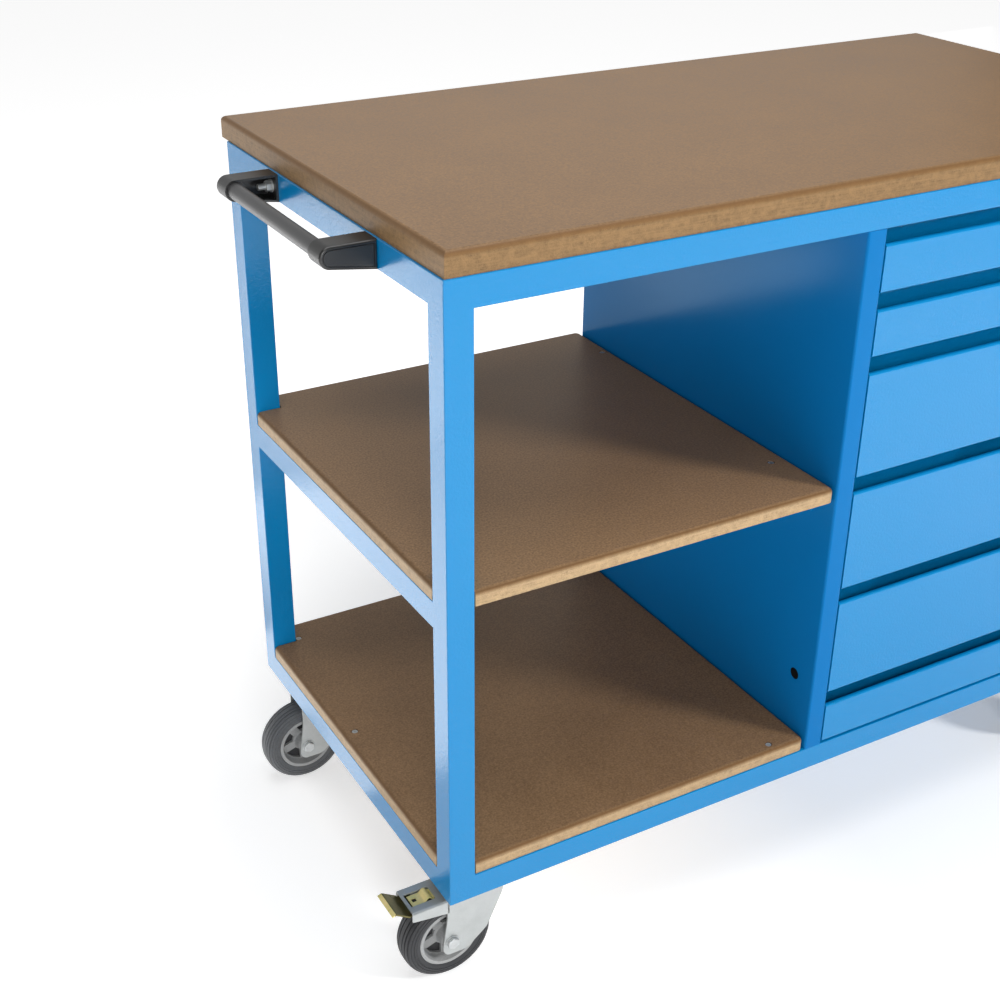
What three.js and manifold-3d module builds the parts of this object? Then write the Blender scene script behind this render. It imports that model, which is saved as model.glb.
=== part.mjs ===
// Assembly table on castors: welded tube frame, worktop, two shelves, a drawer cabinet and a push handle.
// Millimetres, +X along the length, +Y to the rear, +Z up, origin on the floor under the middle.

import * as THREE from 'three';
import { mergeVertices } from 'three/addons/utils/BufferGeometryUtils.js';
import Module from 'manifold-3d';

// Frame
const FRAME_LENGTH = 1200;
const FRAME_DEPTH = 600;
const FRAME_HEIGHT = 808;
const TUBE_SIZE = 35;
const TUBE_WALL = 2;
const TUBE_CORNER_RADIUS = 3;
const MID_RAIL_TOP = 421;

// Boards
const WORKTOP_THICKNESS = 28;
const WORKTOP_FRONT_INSET = 2;
const WORKTOP_END_INSET = 5;
const WORKTOP_REAR_OVERHANG = 23;
const WORKTOP_EDGE_RADIUS = 7;
const SHELF_THICKNESS = 19;
const SHELF_FRONT_INSET = 2;
const SHELF_END_INSET = 3;
const SHELF_REAR_OVERHANG = 10;
const SHELF_EDGE_RADIUS = 6;
const SHELF_CORNER_RADIUS = 9;
const SHELF_NOTCH_GAP = 2;
const SHELF_CABINET_GAP = 1;
const LEDGE_WIDTH = 30;
const LEDGE_SHEET = 2;
const LEDGE_END_GAP = 5;

// Cabinet
const SHELF_BAY_LENGTH = 552;
const SHEET = 1.5;
const FLANGE_WIDTH = 29;
const FLANGE_LIP = 15;
const PANEL_HOLE_DIAMETER = 12;
const PANEL_HOLE_FROM_FRONT = 38;
const PANEL_HOLE_HEIGHT = 104;

// Drawers, from the lowest to the highest, in units of the shallow drawer
const DRAWER_UNITS = [1, 2, 2, 2, 1, 1];
const DRAWER_SIDE_GAP = 1;
const DRAWER_FRONT_GAP = 1.5;
const GRIP_HEIGHT = 20;
const GRIP_DEPTH = 25;
const GRIP_LIP_DEPTH = 8;
const GRIP_LIP_DROP = 8;
const GRIP_WALL_GAP = 5;
const TRAY_REAR_GAP = 55;
const RUNNER_WIDTH = 14;
const RUNNER_HEIGHT = 12;
const RUNNER_RISE = 14;
const RUNNER_CLEARANCE = 0.3;
const RUNNER_SIDE_CLEARANCE = 2;
const RUNNER_START = 40;
const RACK_REAR_GAP = 30;
const RACK_END_GAP = 5;

// Push handle
const HANDLE_LENGTH = 309;
const HANDLE_OFFSET = 3.5;
const HANDLE_REACH = 54;
const HANDLE_TUBE_DIAMETER = 20;
const HANDLE_TUBE_WALL = 2;
const BRACKET_WIDTH = 31;
const BRACKET_ROOT_HEIGHT = 34;
const BRACKET_TIP_RADIUS = 13;
const BRACKET_TOP_INSET = 0.5;
const BRACKET_WALL = 3;
const SOCKET_CLEARANCE = 0.3;
const SOCKET_FLOOR = 7;

// Castors
const CASTOR_HEIGHT = 165;
const CASTOR_INSET_X = 61;
const CASTOR_INSET_Y = 65;
const CASTOR_TRAIL = 38;
const WHEEL_DIAMETER = 125;
const WHEEL_WIDTH = 38;
const RIM_DIAMETER = 84;
const RIM_RING = 6;
const RIM_WEB = 10;
const HUB_DIAMETER = 28;
const HUB_END_GAP = 1;
const RIM_WINDOWS = 5;
const RIM_SPOKE_WIDTH = 9;
const RIM_SIDE_INSET = 2;
const TYRE_TREAD_WIDTH = 16;
const TYRE_SHOULDER_WIDTH = 4;
const TYRE_SHOULDER_DROP = 1;
const TYRE_EDGE_DROP = 4;
const TYRE_SEAT_GAP = 0.3;
const AXLE_DIAMETER = 10;
const AXLE_CLEARANCE = 0.3;
const AXLE_HEAD_ACROSS_CORNERS = 18;
const AXLE_HEAD_THICKNESS = 6;
const CORNER_PLATE_SIZE = 114;
const CORNER_PLATE_INSET = 8;
const CORNER_PLATE_THICKNESS = 6;
const CORNER_PLATE_CLIP = 38;
const TOP_PLATE_LENGTH = 105;
const TOP_PLATE_WIDTH = 85;
const TOP_PLATE_THICKNESS = 4;
const RACE_DIAMETER = 62;
const RACE_HEIGHT = 5.5;
const RACE_GAP = 0.5;
const SWIVEL_DISH_DIAMETER = 56;
const SWIVEL_DISH_HEIGHT = 6;
const KINGPIN_DIAMETER = 12;
const KINGPIN_CLEARANCE = 0.5;
const FORK_SHEET = 3;
const FORK_SIDE_CLEARANCE = 3;
const FORK_NOSE = 37;
const FORK_BACK = 44;
const LEG_TIP_DROP = 21;
const LEG_TIP_BACK = 13.5;
const LEG_CHAMFER = 24;

// Brake on the two front castors
const HOUSING_LENGTH = 49;
const HOUSING_TOP_DROP = 32;
const HOUSING_SHEET = 2;
const HOUSING_END_DEPTH = 14;
const HOUSING_ROOT_DEPTH = 21;
const WINDOW_LENGTH = 34.5;
const WINDOW_WIDTH = 24;
const WINDOW_MARGIN = 4.5;
const PEDAL_PIN_DIAMETER = 6;
const PEDAL_PIN_CLEARANCE = 0.4;
const PEDAL_PIN_INSET = 14;
const PEDAL_PIN_DROP = 11;
const PEDAL_SHEET = 2;
const PEDAL_TONGUE_GAP = 2;
const PEDAL_TONGUE_RISE = 1;
const PEDAL_TREAD_LENGTH = 19.5;
const PEDAL_TREAD_RISE = 12.5;
const PEDAL_LIP = 5;
const PEDAL_LIP_DROP = 2;
const SPRING_SHEET = 1.2;
const SPRING_WIDTH = 20;
const SPRING_SEAT_GAP = 0.3;
const SPRING_FLAT = 11;
const SPRING_HUMP_LENGTH = 14;
const SPRING_HUMP_RISE = 5;
const SPRING_TAIL = 16;

// How far a cutting tool passes what it cuts, and a joined piece reaches into the next
const OVERSHOOT = 1;

// Fineness of round shapes
const ROUND_STEPS = 24;
const WHEEL_STEPS = 32;
const FINE_STEPS = 16;
const EDGE_STEPS = 3;
const CORNER_STEPS = 4;
const TIP_STEPS = 10;
const TUBE_CORNER_STEPS = 2;
const WINDOW_STEPS = 2;
const HUMP_STEPS = 8;
const HEX_SIDES = 6;

// Points closer than this are one point
const MERGE_DISTANCE = 1e-4;

// Finishes
const paint = () => new THREE.MeshStandardMaterial({ color: 0x2f86cf, roughness: 0.42, metalness: 0.1 });
const fibreboard = () => new THREE.MeshStandardMaterial({ color: 0x96785c, roughness: 0.7, metalness: 0 });
const zinc = () => new THREE.MeshStandardMaterial({ color: 0xc3c8c6, roughness: 0.35, metalness: 0.9 });
const yellowZinc = () => new THREE.MeshStandardMaterial({ color: 0xcfa94a, roughness: 0.3, metalness: 0.9 });
const blackPlastic = () => new THREE.MeshStandardMaterial({ color: 0x2b2b2c, roughness: 0.5, metalness: 0 });
const gripCoat = () => new THREE.MeshStandardMaterial({ color: 0x5a5c5e, roughness: 0.6, metalness: 0 });
const rimPlastic = () => new THREE.MeshStandardMaterial({ color: 0x9a9c9c, roughness: 0.5, metalness: 0 });
const tyreRubber = () => new THREE.MeshStandardMaterial({ color: 0x4a4d50, roughness: 0.8, metalness: 0 });

// Solids
const wasm = await Module();
wasm.setup();

function solidOf(geometry) {
  const bare = new THREE.BufferGeometry();
  bare.setAttribute('position', geometry.getAttribute('position'));
  bare.setIndex(geometry.getIndex());
  const merged = mergeVertices(bare, MERGE_DISTANCE);
  const index = merged.getIndex().array;
  const triangles = [];
  for (let i = 0; i < index.length; i += 3) {
    const [a, b, c] = [index[i], index[i + 1], index[i + 2]];
    if (a !== b && b !== c && c !== a) triangles.push(a, b, c);
  }
  const vertProperties = new Float32Array(merged.getAttribute('position').array);
  const build = (list) => new wasm.Manifold(
    new wasm.Mesh({ numProp: 3, vertProperties, triVerts: new Uint32Array(list) }));
  const solid = build(triangles);
  return solid.volume() < 0 ? build(triangles.reverse()) : solid;
}

// Joined and cut faces that lie in one plane are merged, so no slivers are left where pieces met
function geometryOf(solid) {
  const mesh = solid.asOriginal().simplify().getMesh();
  const geometry = new THREE.BufferGeometry();
  geometry.setAttribute('position', new THREE.BufferAttribute(new Float32Array(mesh.vertProperties), 3));
  geometry.setIndex(new THREE.BufferAttribute(new Uint32Array(mesh.triVerts), 1));
  const facets = geometry.toNonIndexed();
  facets.computeVertexNormals();
  return facets;
}

const join = (solids) => solids.reduce((whole, solid) => whole.add(solid));

const cut = (solid, tools) => tools.reduce((rest, tool) => rest.subtract(tool), solid);

function box([x0, x1], [y0, y1], [z0, z1]) {
  const geometry = new THREE.BoxGeometry(x1 - x0, y1 - y0, z1 - z0);
  return solidOf(geometry.translate((x0 + x1) / 2, (y0 + y1) / 2, (z0 + z1) / 2));
}

function cylinderZ(radius, [z0, z1], steps, x = 0, y = 0) {
  const geometry = new THREE.CylinderGeometry(radius, radius, z1 - z0, steps);
  return solidOf(geometry.rotateX(Math.PI / 2).translate(x, y, (z0 + z1) / 2));
}

function cylinderY(radius, [y0, y1], steps, x = 0, z = 0) {
  const geometry = new THREE.CylinderGeometry(radius, radius, y1 - y0, steps);
  return solidOf(geometry.translate(x, (y0 + y1) / 2, z));
}

// An outline in X and Z, extruded along Y
function plateXZ(shape, [y0, y1], curveSegments = CORNER_STEPS) {
  const geometry = new THREE.ExtrudeGeometry(shape, { depth: y1 - y0, bevelEnabled: false, curveSegments });
  return solidOf(geometry.rotateX(Math.PI / 2).translate(0, y1, 0));
}

// The outline of a bent strip of sheet that follows a line of points
function stripShape(points, thickness) {
  const line = points.map(([x, z]) => new THREE.Vector2(x, z));
  const side = (sign) => line.map((point, i) => {
    const before = line[Math.max(i - 1, 0)];
    const after = line[Math.min(i + 1, line.length - 1)];
    const along = after.clone().sub(before).normalize();
    return point.clone().add(new THREE.Vector2(-along.y, along.x).multiplyScalar(sign * thickness / 2));
  });
  return new THREE.Shape([...side(1), ...side(-1).reverse()]);
}

function roundedSquare(size, radius) {
  const h = size / 2;
  const shape = new THREE.Shape();
  shape.moveTo(h - radius, -h);
  shape.absarc(h - radius, radius - h, radius, -Math.PI / 2, 0);
  shape.absarc(h - radius, h - radius, radius, 0, Math.PI / 2);
  shape.absarc(radius - h, h - radius, radius, Math.PI / 2, Math.PI);
  shape.absarc(radius - h, radius - h, radius, Math.PI, Math.PI * 1.5);
  shape.closePath();
  return shape;
}

// A board that lies on z = 0, with only its upper edges rounded
function roundedBoard(shape, thickness, radius) {
  const geometry = new THREE.ExtrudeGeometry(shape, {
    depth: thickness - radius,
    bevelThickness: radius,
    bevelSize: radius,
    bevelOffset: -radius,
    bevelSegments: EDGE_STEPS,
    curveSegments: CORNER_STEPS,
  });
  geometry.computeBoundingBox();
  const { min, max } = geometry.boundingBox;
  const lowerEdge = box([min.x - radius, max.x + radius], [min.y - radius, max.y + radius], [-2 * radius, 0]);
  return solidOf(geometry).subtract(lowerEdge);
}

// Assembly: the table is laid out from the outer front left corner of the frame, at floor level
const handleLeft = -(HANDLE_REACH + BRACKET_TIP_RADIUS);
const worktopRear = FRAME_DEPTH + WORKTOP_REAR_OVERHANG;
const table = new THREE.Group();
table.position.set(-(handleLeft + FRAME_LENGTH) / 2, -worktopRear / 2, 0);

function addPart(parent, name, solid, material, place = [0, 0, 0]) {
  const mesh = new THREE.Mesh(geometryOf(solid), material);
  mesh.name = name;
  mesh.position.set(...place);
  parent.add(mesh);
}

// Heights above the floor
const baseBottom = CASTOR_HEIGHT;
const baseTop = baseBottom + TUBE_SIZE;
const frameTop = baseBottom + FRAME_HEIGHT;
const topRailBottom = frameTop - TUBE_SIZE;
const midTop = baseBottom + MID_RAIL_TOP;

// Tube frame
function tube(axis, start, end) {
  const section = roundedSquare(TUBE_SIZE, TUBE_CORNER_RADIUS);
  section.holes.push(roundedSquare(TUBE_SIZE - 2 * TUBE_WALL, TUBE_CORNER_RADIUS - TUBE_WALL));
  const settings = { depth: end - start, bevelEnabled: false, curveSegments: TUBE_CORNER_STEPS };
  const geometry = new THREE.ExtrudeGeometry(section, settings).translate(0, 0, start);
  if (axis === 'x') geometry.rotateY(Math.PI / 2);
  if (axis === 'y') geometry.rotateX(-Math.PI / 2);
  return solidOf(geometry);
}

const halfTube = TUBE_SIZE / 2;
const ends = [['left', halfTube], ['right', FRAME_LENGTH - halfTube]];
const faces = [['front', halfTube], ['rear', FRAME_DEPTH - halfTube]];
const post = tube('z', baseBottom, frameTop);
const longRail = tube('x', TUBE_SIZE, FRAME_LENGTH - TUBE_SIZE);
const crossRail = tube('y', TUBE_SIZE, FRAME_DEPTH - TUBE_SIZE);

for (const [face, y] of faces) {
  for (const [end, x] of ends) {
    addPart(table, `post_${face}_${end}`, post, paint(), [x, y, 0]);
  }
  addPart(table, `base_rail_${face}`, longRail, paint(), [0, y, baseTop - halfTube]);
  addPart(table, `top_rail_${face}`, longRail, paint(), [0, y, frameTop - halfTube]);
}
for (const [end, x] of ends) {
  addPart(table, `base_rail_${end}`, crossRail, paint(), [x, 0, baseTop - halfTube]);
  addPart(table, `top_rail_${end}`, crossRail, paint(), [x, 0, frameTop - halfTube]);
}
addPart(table, 'mid_rail_left', crossRail, paint(), [halfTube, 0, midTop - halfTube]);

// Worktop
const worktopOutline = new THREE.Shape([
  new THREE.Vector2(WORKTOP_END_INSET, WORKTOP_FRONT_INSET),
  new THREE.Vector2(FRAME_LENGTH - WORKTOP_END_INSET, WORKTOP_FRONT_INSET),
  new THREE.Vector2(FRAME_LENGTH - WORKTOP_END_INSET, worktopRear),
  new THREE.Vector2(WORKTOP_END_INSET, worktopRear),
]);
const worktop = roundedBoard(worktopOutline, WORKTOP_THICKNESS, WORKTOP_EDGE_RADIUS);
addPart(table, 'worktop', worktop, fibreboard(), [0, 0, frameTop]);

// Shelves, notched round the left posts
function shelf() {
  const left = SHELF_END_INSET;
  const right = SHELF_BAY_LENGTH - SHELF_CABINET_GAP;
  const front = SHELF_FRONT_INSET;
  const rear = FRAME_DEPTH + SHELF_REAR_OVERHANG;
  const corner = SHELF_CORNER_RADIUS;
  const outline = new THREE.Shape();
  outline.moveTo(left, front);
  outline.lineTo(right - corner, front);
  outline.absarc(right - corner, front + corner, corner, -Math.PI / 2, 0);
  outline.absarc(right - corner, rear - corner, corner, 0, Math.PI / 2);
  outline.lineTo(left, rear);
  outline.closePath();
  const notch = TUBE_SIZE + SHELF_NOTCH_GAP;
  const level = [-OVERSHOOT, SHELF_THICKNESS + OVERSHOOT];
  return cut(roundedBoard(outline, SHELF_THICKNESS, SHELF_EDGE_RADIUS), [
    box([left - OVERSHOOT, notch], [front - OVERSHOOT, notch], level),
    box([left - OVERSHOOT, notch], [FRAME_DEPTH - notch, rear + OVERSHOOT], level),
  ]);
}
addPart(table, 'mid_shelf', shelf(), fibreboard(), [0, 0, midTop]);
addPart(table, 'base_shelf', shelf(), fibreboard(), [0, 0, baseTop]);

// Angle that carries the right end of the mid shelf on the cabinet side
const ledgeSpan = [TUBE_SIZE + LEDGE_END_GAP, FRAME_DEPTH - TUBE_SIZE - LEDGE_END_GAP];
const ledge = join([
  box([SHELF_BAY_LENGTH - LEDGE_WIDTH, SHELF_BAY_LENGTH], ledgeSpan, [midTop - LEDGE_SHEET, midTop]),
  box([SHELF_BAY_LENGTH - LEDGE_SHEET, SHELF_BAY_LENGTH], ledgeSpan, [midTop - LEDGE_WIDTH, midTop]),
]);
addPart(table, 'mid_shelf_ledge', ledge, paint());

// Cabinet shell, between the shelf bay and the right posts
const cabinetLeft = SHELF_BAY_LENGTH;
const cabinetRight = FRAME_LENGTH - TUBE_SIZE;
const cabinetHeight = [baseTop, topRailBottom];
const backPanelRear = FRAME_DEPTH - SHEET;
const openingLeft = cabinetLeft + FLANGE_WIDTH;
const openingRight = cabinetRight - FLANGE_WIDTH;

// The same span on the left side of the cabinet or, mirrored, on its right side
function sideSpan(side, near, far) {
  if (side === 'left') return [cabinetLeft + near, cabinetLeft + far];
  return [cabinetRight - far, cabinetRight - near];
}

function sidePanel(side) {
  const flange = sideSpan(side, 0, FLANGE_WIDTH);
  const panel = join([
    box(sideSpan(side, 0, SHEET), [0, FRAME_DEPTH], cabinetHeight),
    box(flange, [0, SHEET], cabinetHeight),
    box(sideSpan(side, FLANGE_WIDTH - SHEET, FLANGE_WIDTH), [0, FLANGE_LIP], cabinetHeight),
    box(flange, [backPanelRear, FRAME_DEPTH], cabinetHeight),
  ]);
  const bore = new THREE.CylinderGeometry(
    PANEL_HOLE_DIAMETER / 2, PANEL_HOLE_DIAMETER / 2, 4 * SHEET, FINE_STEPS);
  bore.rotateZ(Math.PI / 2);
  const [x0, x1] = sideSpan(side, 0, SHEET);
  bore.translate((x0 + x1) / 2, PANEL_HOLE_FROM_FRONT, baseTop + PANEL_HOLE_HEIGHT);
  return panel.subtract(solidOf(bore));
}
addPart(table, 'cabinet_left_panel', sidePanel('left'), paint());
addPart(table, 'cabinet_right_panel', sidePanel('right'), paint());

const insideWidth = [cabinetLeft + SHEET, cabinetRight - SHEET];
const cabinetFloorTop = baseTop + SHEET;
addPart(table, 'cabinet_bottom',
  box(insideWidth, [FLANGE_LIP, backPanelRear - SHEET], [baseTop, cabinetFloorTop]), paint());
addPart(table, 'cabinet_back',
  box(insideWidth, [backPanelRear - SHEET, backPanelRear], cabinetHeight), paint());

// Drawers: places of their runners, then the drawers and the two racks that carry them
const drawerUnit = (topRailBottom - cabinetFloorTop) / DRAWER_UNITS.reduce((sum, units) => sum + units);
const drawerLevels = DRAWER_UNITS.map((units, i) => {
  const below = DRAWER_UNITS.slice(0, i).reduce((sum, unit) => sum + unit, 0);
  const floor = cabinetFloorTop + below * drawerUnit + DRAWER_FRONT_GAP;
  const ceiling = cabinetFloorTop + (below + units) * drawerUnit;
  const runner = [floor + RUNNER_RISE, floor + RUNNER_RISE + RUNNER_HEIGHT];
  return { floor, rim: ceiling - GRIP_HEIGHT, wallTop: ceiling - GRIP_WALL_GAP, runner };
});
const frontSpan = [openingLeft + DRAWER_SIDE_GAP, openingRight - DRAWER_SIDE_GAP];
const trayInset = FLANGE_WIDTH + DRAWER_SIDE_GAP + RUNNER_WIDTH;
const traySpan = [cabinetLeft + trayInset, cabinetRight - trayInset];
const trayRear = FRAME_DEPTH - TRAY_REAR_GAP;

function drawer({ floor, rim, wallTop, runner }) {
  const [frontLeft, frontRight] = frontSpan;
  const [trayLeft, trayRight] = traySpan;
  const trayDepth = [GRIP_DEPTH, trayRear];
  const runnerDepth = [RUNNER_START, trayRear];
  const bars = ['left', 'right'].map((side) =>
    box(sideSpan(side, trayInset - RUNNER_WIDTH, trayInset + SHEET), runnerDepth, runner));
  return join([
    box(frontSpan, [0, SHEET], [floor, rim]),
    box(frontSpan, [0, GRIP_DEPTH + SHEET], [floor, floor + SHEET]),
    box(frontSpan, [0, GRIP_LIP_DEPTH], [rim - SHEET, rim]),
    box(frontSpan, [GRIP_LIP_DEPTH - SHEET, GRIP_LIP_DEPTH], [rim - GRIP_LIP_DROP, rim]),
    box([frontLeft, frontLeft + SHEET], [0, GRIP_DEPTH + SHEET], [floor, rim]),
    box([frontRight - SHEET, frontRight], [0, GRIP_DEPTH + SHEET], [floor, rim]),
    box(frontSpan, [GRIP_DEPTH, GRIP_DEPTH + SHEET], [floor, wallTop]),
    box(traySpan, trayDepth, [floor, floor + SHEET]),
    box([trayLeft, trayLeft + SHEET], trayDepth, [floor, wallTop]),
    box([trayRight - SHEET, trayRight], trayDepth, [floor, wallTop]),
    box(traySpan, [trayRear - SHEET, trayRear], [floor, wallTop]),
    ...bars,
  ]);
}
drawerLevels.forEach((level, i) => addPart(table, `drawer_${i + 1}`, drawer(level), paint()));

// A rack is an upright sheet on two webs, with a channel for each drawer's runner
function runnerRack(side) {
  const channelFar = trayInset - RUNNER_SIDE_CLEARANCE;
  const webNear = FLANGE_WIDTH - RUNNER_SIDE_CLEARANCE;
  const rackRear = FRAME_DEPTH - RACK_REAR_GAP;
  const depth = [RUNNER_START, rackRear];
  const height = [cabinetFloorTop + RACK_END_GAP, topRailBottom - RACK_END_GAP];
  const upright = sideSpan(side, webNear - SHEET, webNear);
  const web = sideSpan(side, SHEET, webNear);
  const channels = drawerLevels.flatMap(({ runner: [low, high] }) => {
    const reach = sideSpan(side, webNear - SHEET, channelFar);
    return [
      box(reach, depth, [low - RUNNER_CLEARANCE - SHEET, low - RUNNER_CLEARANCE]),
      box(reach, depth, [high + RUNNER_CLEARANCE, high + RUNNER_CLEARANCE + SHEET]),
    ];
  });
  return join([
    box(upright, depth, height),
    box(web, [RUNNER_START, RUNNER_START + SHEET], height),
    box(web, [rackRear - SHEET, rackRear], height),
    ...channels,
  ]);
}
addPart(table, 'runner_rack_left', runnerRack('left'), zinc());
addPart(table, 'runner_rack_right', runnerRack('right'), zinc());

// Push handle on the outer face of the left top rail
const bracketTop = frameTop - BRACKET_TOP_INSET;
const handleAxisZ = bracketTop - BRACKET_TIP_RADIUS;
const handleMiddle = FRAME_DEPTH / 2 + HANDLE_OFFSET;
const handleFront = handleMiddle - HANDLE_LENGTH / 2;
const handleRear = handleMiddle + HANDLE_LENGTH / 2;

// Wedge outline from its root on the rail to its round tip, drawn in by a margin
function bracketOutline(margin) {
  const tip = BRACKET_TIP_RADIUS - margin;
  const rootBottom = bracketTop - BRACKET_ROOT_HEIGHT + margin;
  const toRoot = new THREE.Vector2(HANDLE_REACH - margin, rootBottom - handleAxisZ);
  const tangent = toRoot.angle() - Math.acos(tip / toRoot.length());
  const shape = new THREE.Shape();
  shape.moveTo(-margin, rootBottom);
  shape.lineTo(-margin, bracketTop - margin);
  shape.lineTo(-HANDLE_REACH, bracketTop - margin);
  shape.absarc(-HANDLE_REACH, handleAxisZ, tip, Math.PI / 2, tangent);
  shape.closePath();
  return shape;
}

// A cylinder on the axis of the handle
function handleRound(radius, span) {
  return cylinderY(radius, span, ROUND_STEPS, -HANDLE_REACH, handleAxisZ);
}

function bracket(outerFace, inward) {
  const span = (from, to) => [outerFace + inward * from, outerFace + inward * to].sort((a, b) => a - b);
  const past = BRACKET_WIDTH + OVERSHOOT;
  const cavity = plateXZ(bracketOutline(BRACKET_WALL), span(BRACKET_WALL, past));
  const boss = handleRound(BRACKET_TIP_RADIUS, span(0, past + OVERSHOOT));
  const socket = handleRound(HANDLE_TUBE_DIAMETER / 2 + SOCKET_CLEARANCE, span(SOCKET_FLOOR, past));
  return cut(plateXZ(bracketOutline(0), span(0, BRACKET_WIDTH), TIP_STEPS), [cavity.subtract(boss), socket]);
}
addPart(table, 'handle_bracket_front', bracket(handleFront, 1), blackPlastic());
addPart(table, 'handle_bracket_rear', bracket(handleRear, -1), blackPlastic());

const handleTubeSpan = [
  handleFront + SOCKET_FLOOR + SOCKET_CLEARANCE,
  handleRear - SOCKET_FLOOR - SOCKET_CLEARANCE,
];
const handleBore = handleRound(HANDLE_TUBE_DIAMETER / 2 - HANDLE_TUBE_WALL, [handleFront, handleRear]);
const handleTube = handleRound(HANDLE_TUBE_DIAMETER / 2, handleTubeSpan).subtract(handleBore);
addPart(table, 'handle_tube', handleTube, gripCoat());

// Castors, each laid out from its swivel axis, down from the underside of the base rails
const topPlateTop = -CORNER_PLATE_THICKNESS;
const topPlateBottom = topPlateTop - TOP_PLATE_THICKNESS;
const raceBottom = topPlateBottom - RACE_HEIGHT;
const dishTop = raceBottom - RACE_GAP;
const forkTop = dishTop - SWIVEL_DISH_HEIGHT;
const hubX = -CASTOR_TRAIL;
const hubZ = WHEEL_DIAMETER / 2 - CASTOR_HEIGHT;
const forkInside = WHEEL_WIDTH / 2 + FORK_SIDE_CLEARANCE;
const forkOutside = forkInside + FORK_SHEET;
const axleRadius = AXLE_DIAMETER / 2;
const axleBore = axleRadius + AXLE_CLEARANCE;
const kingpinRadius = KINGPIN_DIAMETER / 2;
const throughFork = [-forkOutside - OVERSHOOT, forkOutside + OVERSHOOT];

function topPlate() {
  const halfLength = TOP_PLATE_LENGTH / 2;
  const halfWidth = TOP_PLATE_WIDTH / 2;
  const plate = join([
    box([-halfLength, halfLength], [-halfWidth, halfWidth], [topPlateBottom, topPlateTop]),
    cylinderZ(RACE_DIAMETER / 2, [raceBottom, topPlateBottom + OVERSHOOT], ROUND_STEPS),
  ]);
  const through = [raceBottom - OVERSHOOT, topPlateTop + OVERSHOOT];
  return plate.subtract(cylinderZ(kingpinRadius + KINGPIN_CLEARANCE, through, FINE_STEPS));
}

function legOutline() {
  const shape = new THREE.Shape();
  shape.moveTo(FORK_NOSE, forkTop);
  shape.lineTo(-FORK_BACK, forkTop);
  shape.lineTo(-FORK_BACK, (forkTop + hubZ) / 2);
  shape.lineTo(hubX - LEG_TIP_BACK, hubZ - LEG_TIP_DROP / 2);
  shape.quadraticCurveTo(hubX - LEG_TIP_BACK, hubZ - LEG_TIP_DROP, hubX, hubZ - LEG_TIP_DROP);
  shape.lineTo(hubX + LEG_CHAMFER, hubZ - LEG_TIP_DROP);
  shape.lineTo(FORK_NOSE - LEG_CHAMFER, hubZ - LEG_TIP_DROP + LEG_CHAMFER);
  shape.lineTo(FORK_NOSE, forkTop - LEG_CHAMFER);
  shape.closePath();
  return shape;
}

// Brake housing: a channel that runs back from the fork, above the wheel
const housingRoot = -FORK_BACK;
const housingEnd = housingRoot - HOUSING_LENGTH;
const housingTop = -HOUSING_TOP_DROP;
const housingUnder = housingTop - HOUSING_SHEET;
const pedalPinX = housingEnd + PEDAL_PIN_INSET;
const pedalPinZ = housingTop - PEDAL_PIN_DROP;

function brakeHousing() {
  const cheek = new THREE.Shape();
  cheek.moveTo(housingEnd, housingTop);
  cheek.lineTo(housingEnd, housingTop - HOUSING_END_DEPTH);
  cheek.lineTo(housingRoot + OVERSHOOT, housingTop - HOUSING_ROOT_DEPTH);
  cheek.lineTo(housingRoot + OVERSHOOT, housingTop);
  cheek.closePath();
  const across = [-forkOutside, forkOutside];
  const windowStart = housingEnd + WINDOW_MARGIN;
  const pinHole = PEDAL_PIN_DIAMETER / 2 + PEDAL_PIN_CLEARANCE;
  const housing = join([
    plateXZ(cheek, [forkInside, forkOutside]),
    plateXZ(cheek, [-forkOutside, -forkInside]),
    box([housingEnd, housingRoot + FORK_SHEET], across, [housingUnder, housingTop]),
    box([housingRoot, housingRoot + FORK_SHEET], across, [housingUnder, forkTop]),
  ]);
  return cut(housing, [
    box([windowStart, windowStart + WINDOW_LENGTH], [-WINDOW_WIDTH / 2, WINDOW_WIDTH / 2],
      [housingUnder - OVERSHOOT, housingTop + OVERSHOOT]),
    cylinderY(pinHole, throughFork, FINE_STEPS, pedalPinX, pedalPinZ),
  ]);
}

function fork(braked) {
  const leg = legOutline();
  const across = [-forkOutside, forkOutside];
  const pieces = [
    plateXZ(leg, [forkInside, forkOutside]),
    plateXZ(leg, [-forkOutside, -forkInside]),
    box([-FORK_BACK, FORK_NOSE], across, [forkTop - FORK_SHEET, forkTop]),
    cylinderZ(SWIVEL_DISH_DIAMETER / 2, [forkTop - OVERSHOOT, dishTop], ROUND_STEPS),
    cylinderZ(kingpinRadius, [dishTop - OVERSHOOT, topPlateTop - KINGPIN_CLEARANCE], FINE_STEPS),
  ];
  if (braked) pieces.push(brakeHousing());
  return join(pieces).subtract(cylinderY(axleBore, throughFork, FINE_STEPS, hubX, hubZ));
}

function axle() {
  const headEnd = forkOutside + AXLE_HEAD_THICKNESS;
  const headRadius = AXLE_HEAD_ACROSS_CORNERS / 2;
  return join([
    cylinderY(axleRadius, [-headEnd + OVERSHOOT, headEnd + axleRadius], FINE_STEPS, hubX, hubZ),
    cylinderY(headRadius, [-headEnd, -forkOutside], HEX_SIDES, hubX, hubZ),
    cylinderY(headRadius, [forkOutside, headEnd], HEX_SIDES, hubX, hubZ),
  ]);
}

// A closed profile of radius and width points, turned about the axle
function turned(profile, steps) {
  const points = [...profile, profile[0]].map(([radius, y]) => new THREE.Vector2(radius, y));
  return solidOf(new THREE.LatheGeometry(points, steps).translate(hubX, 0, hubZ));
}

const rimRadius = RIM_DIAMETER / 2;
const rimHalf = WHEEL_WIDTH / 2 - RIM_SIDE_INSET;

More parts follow.
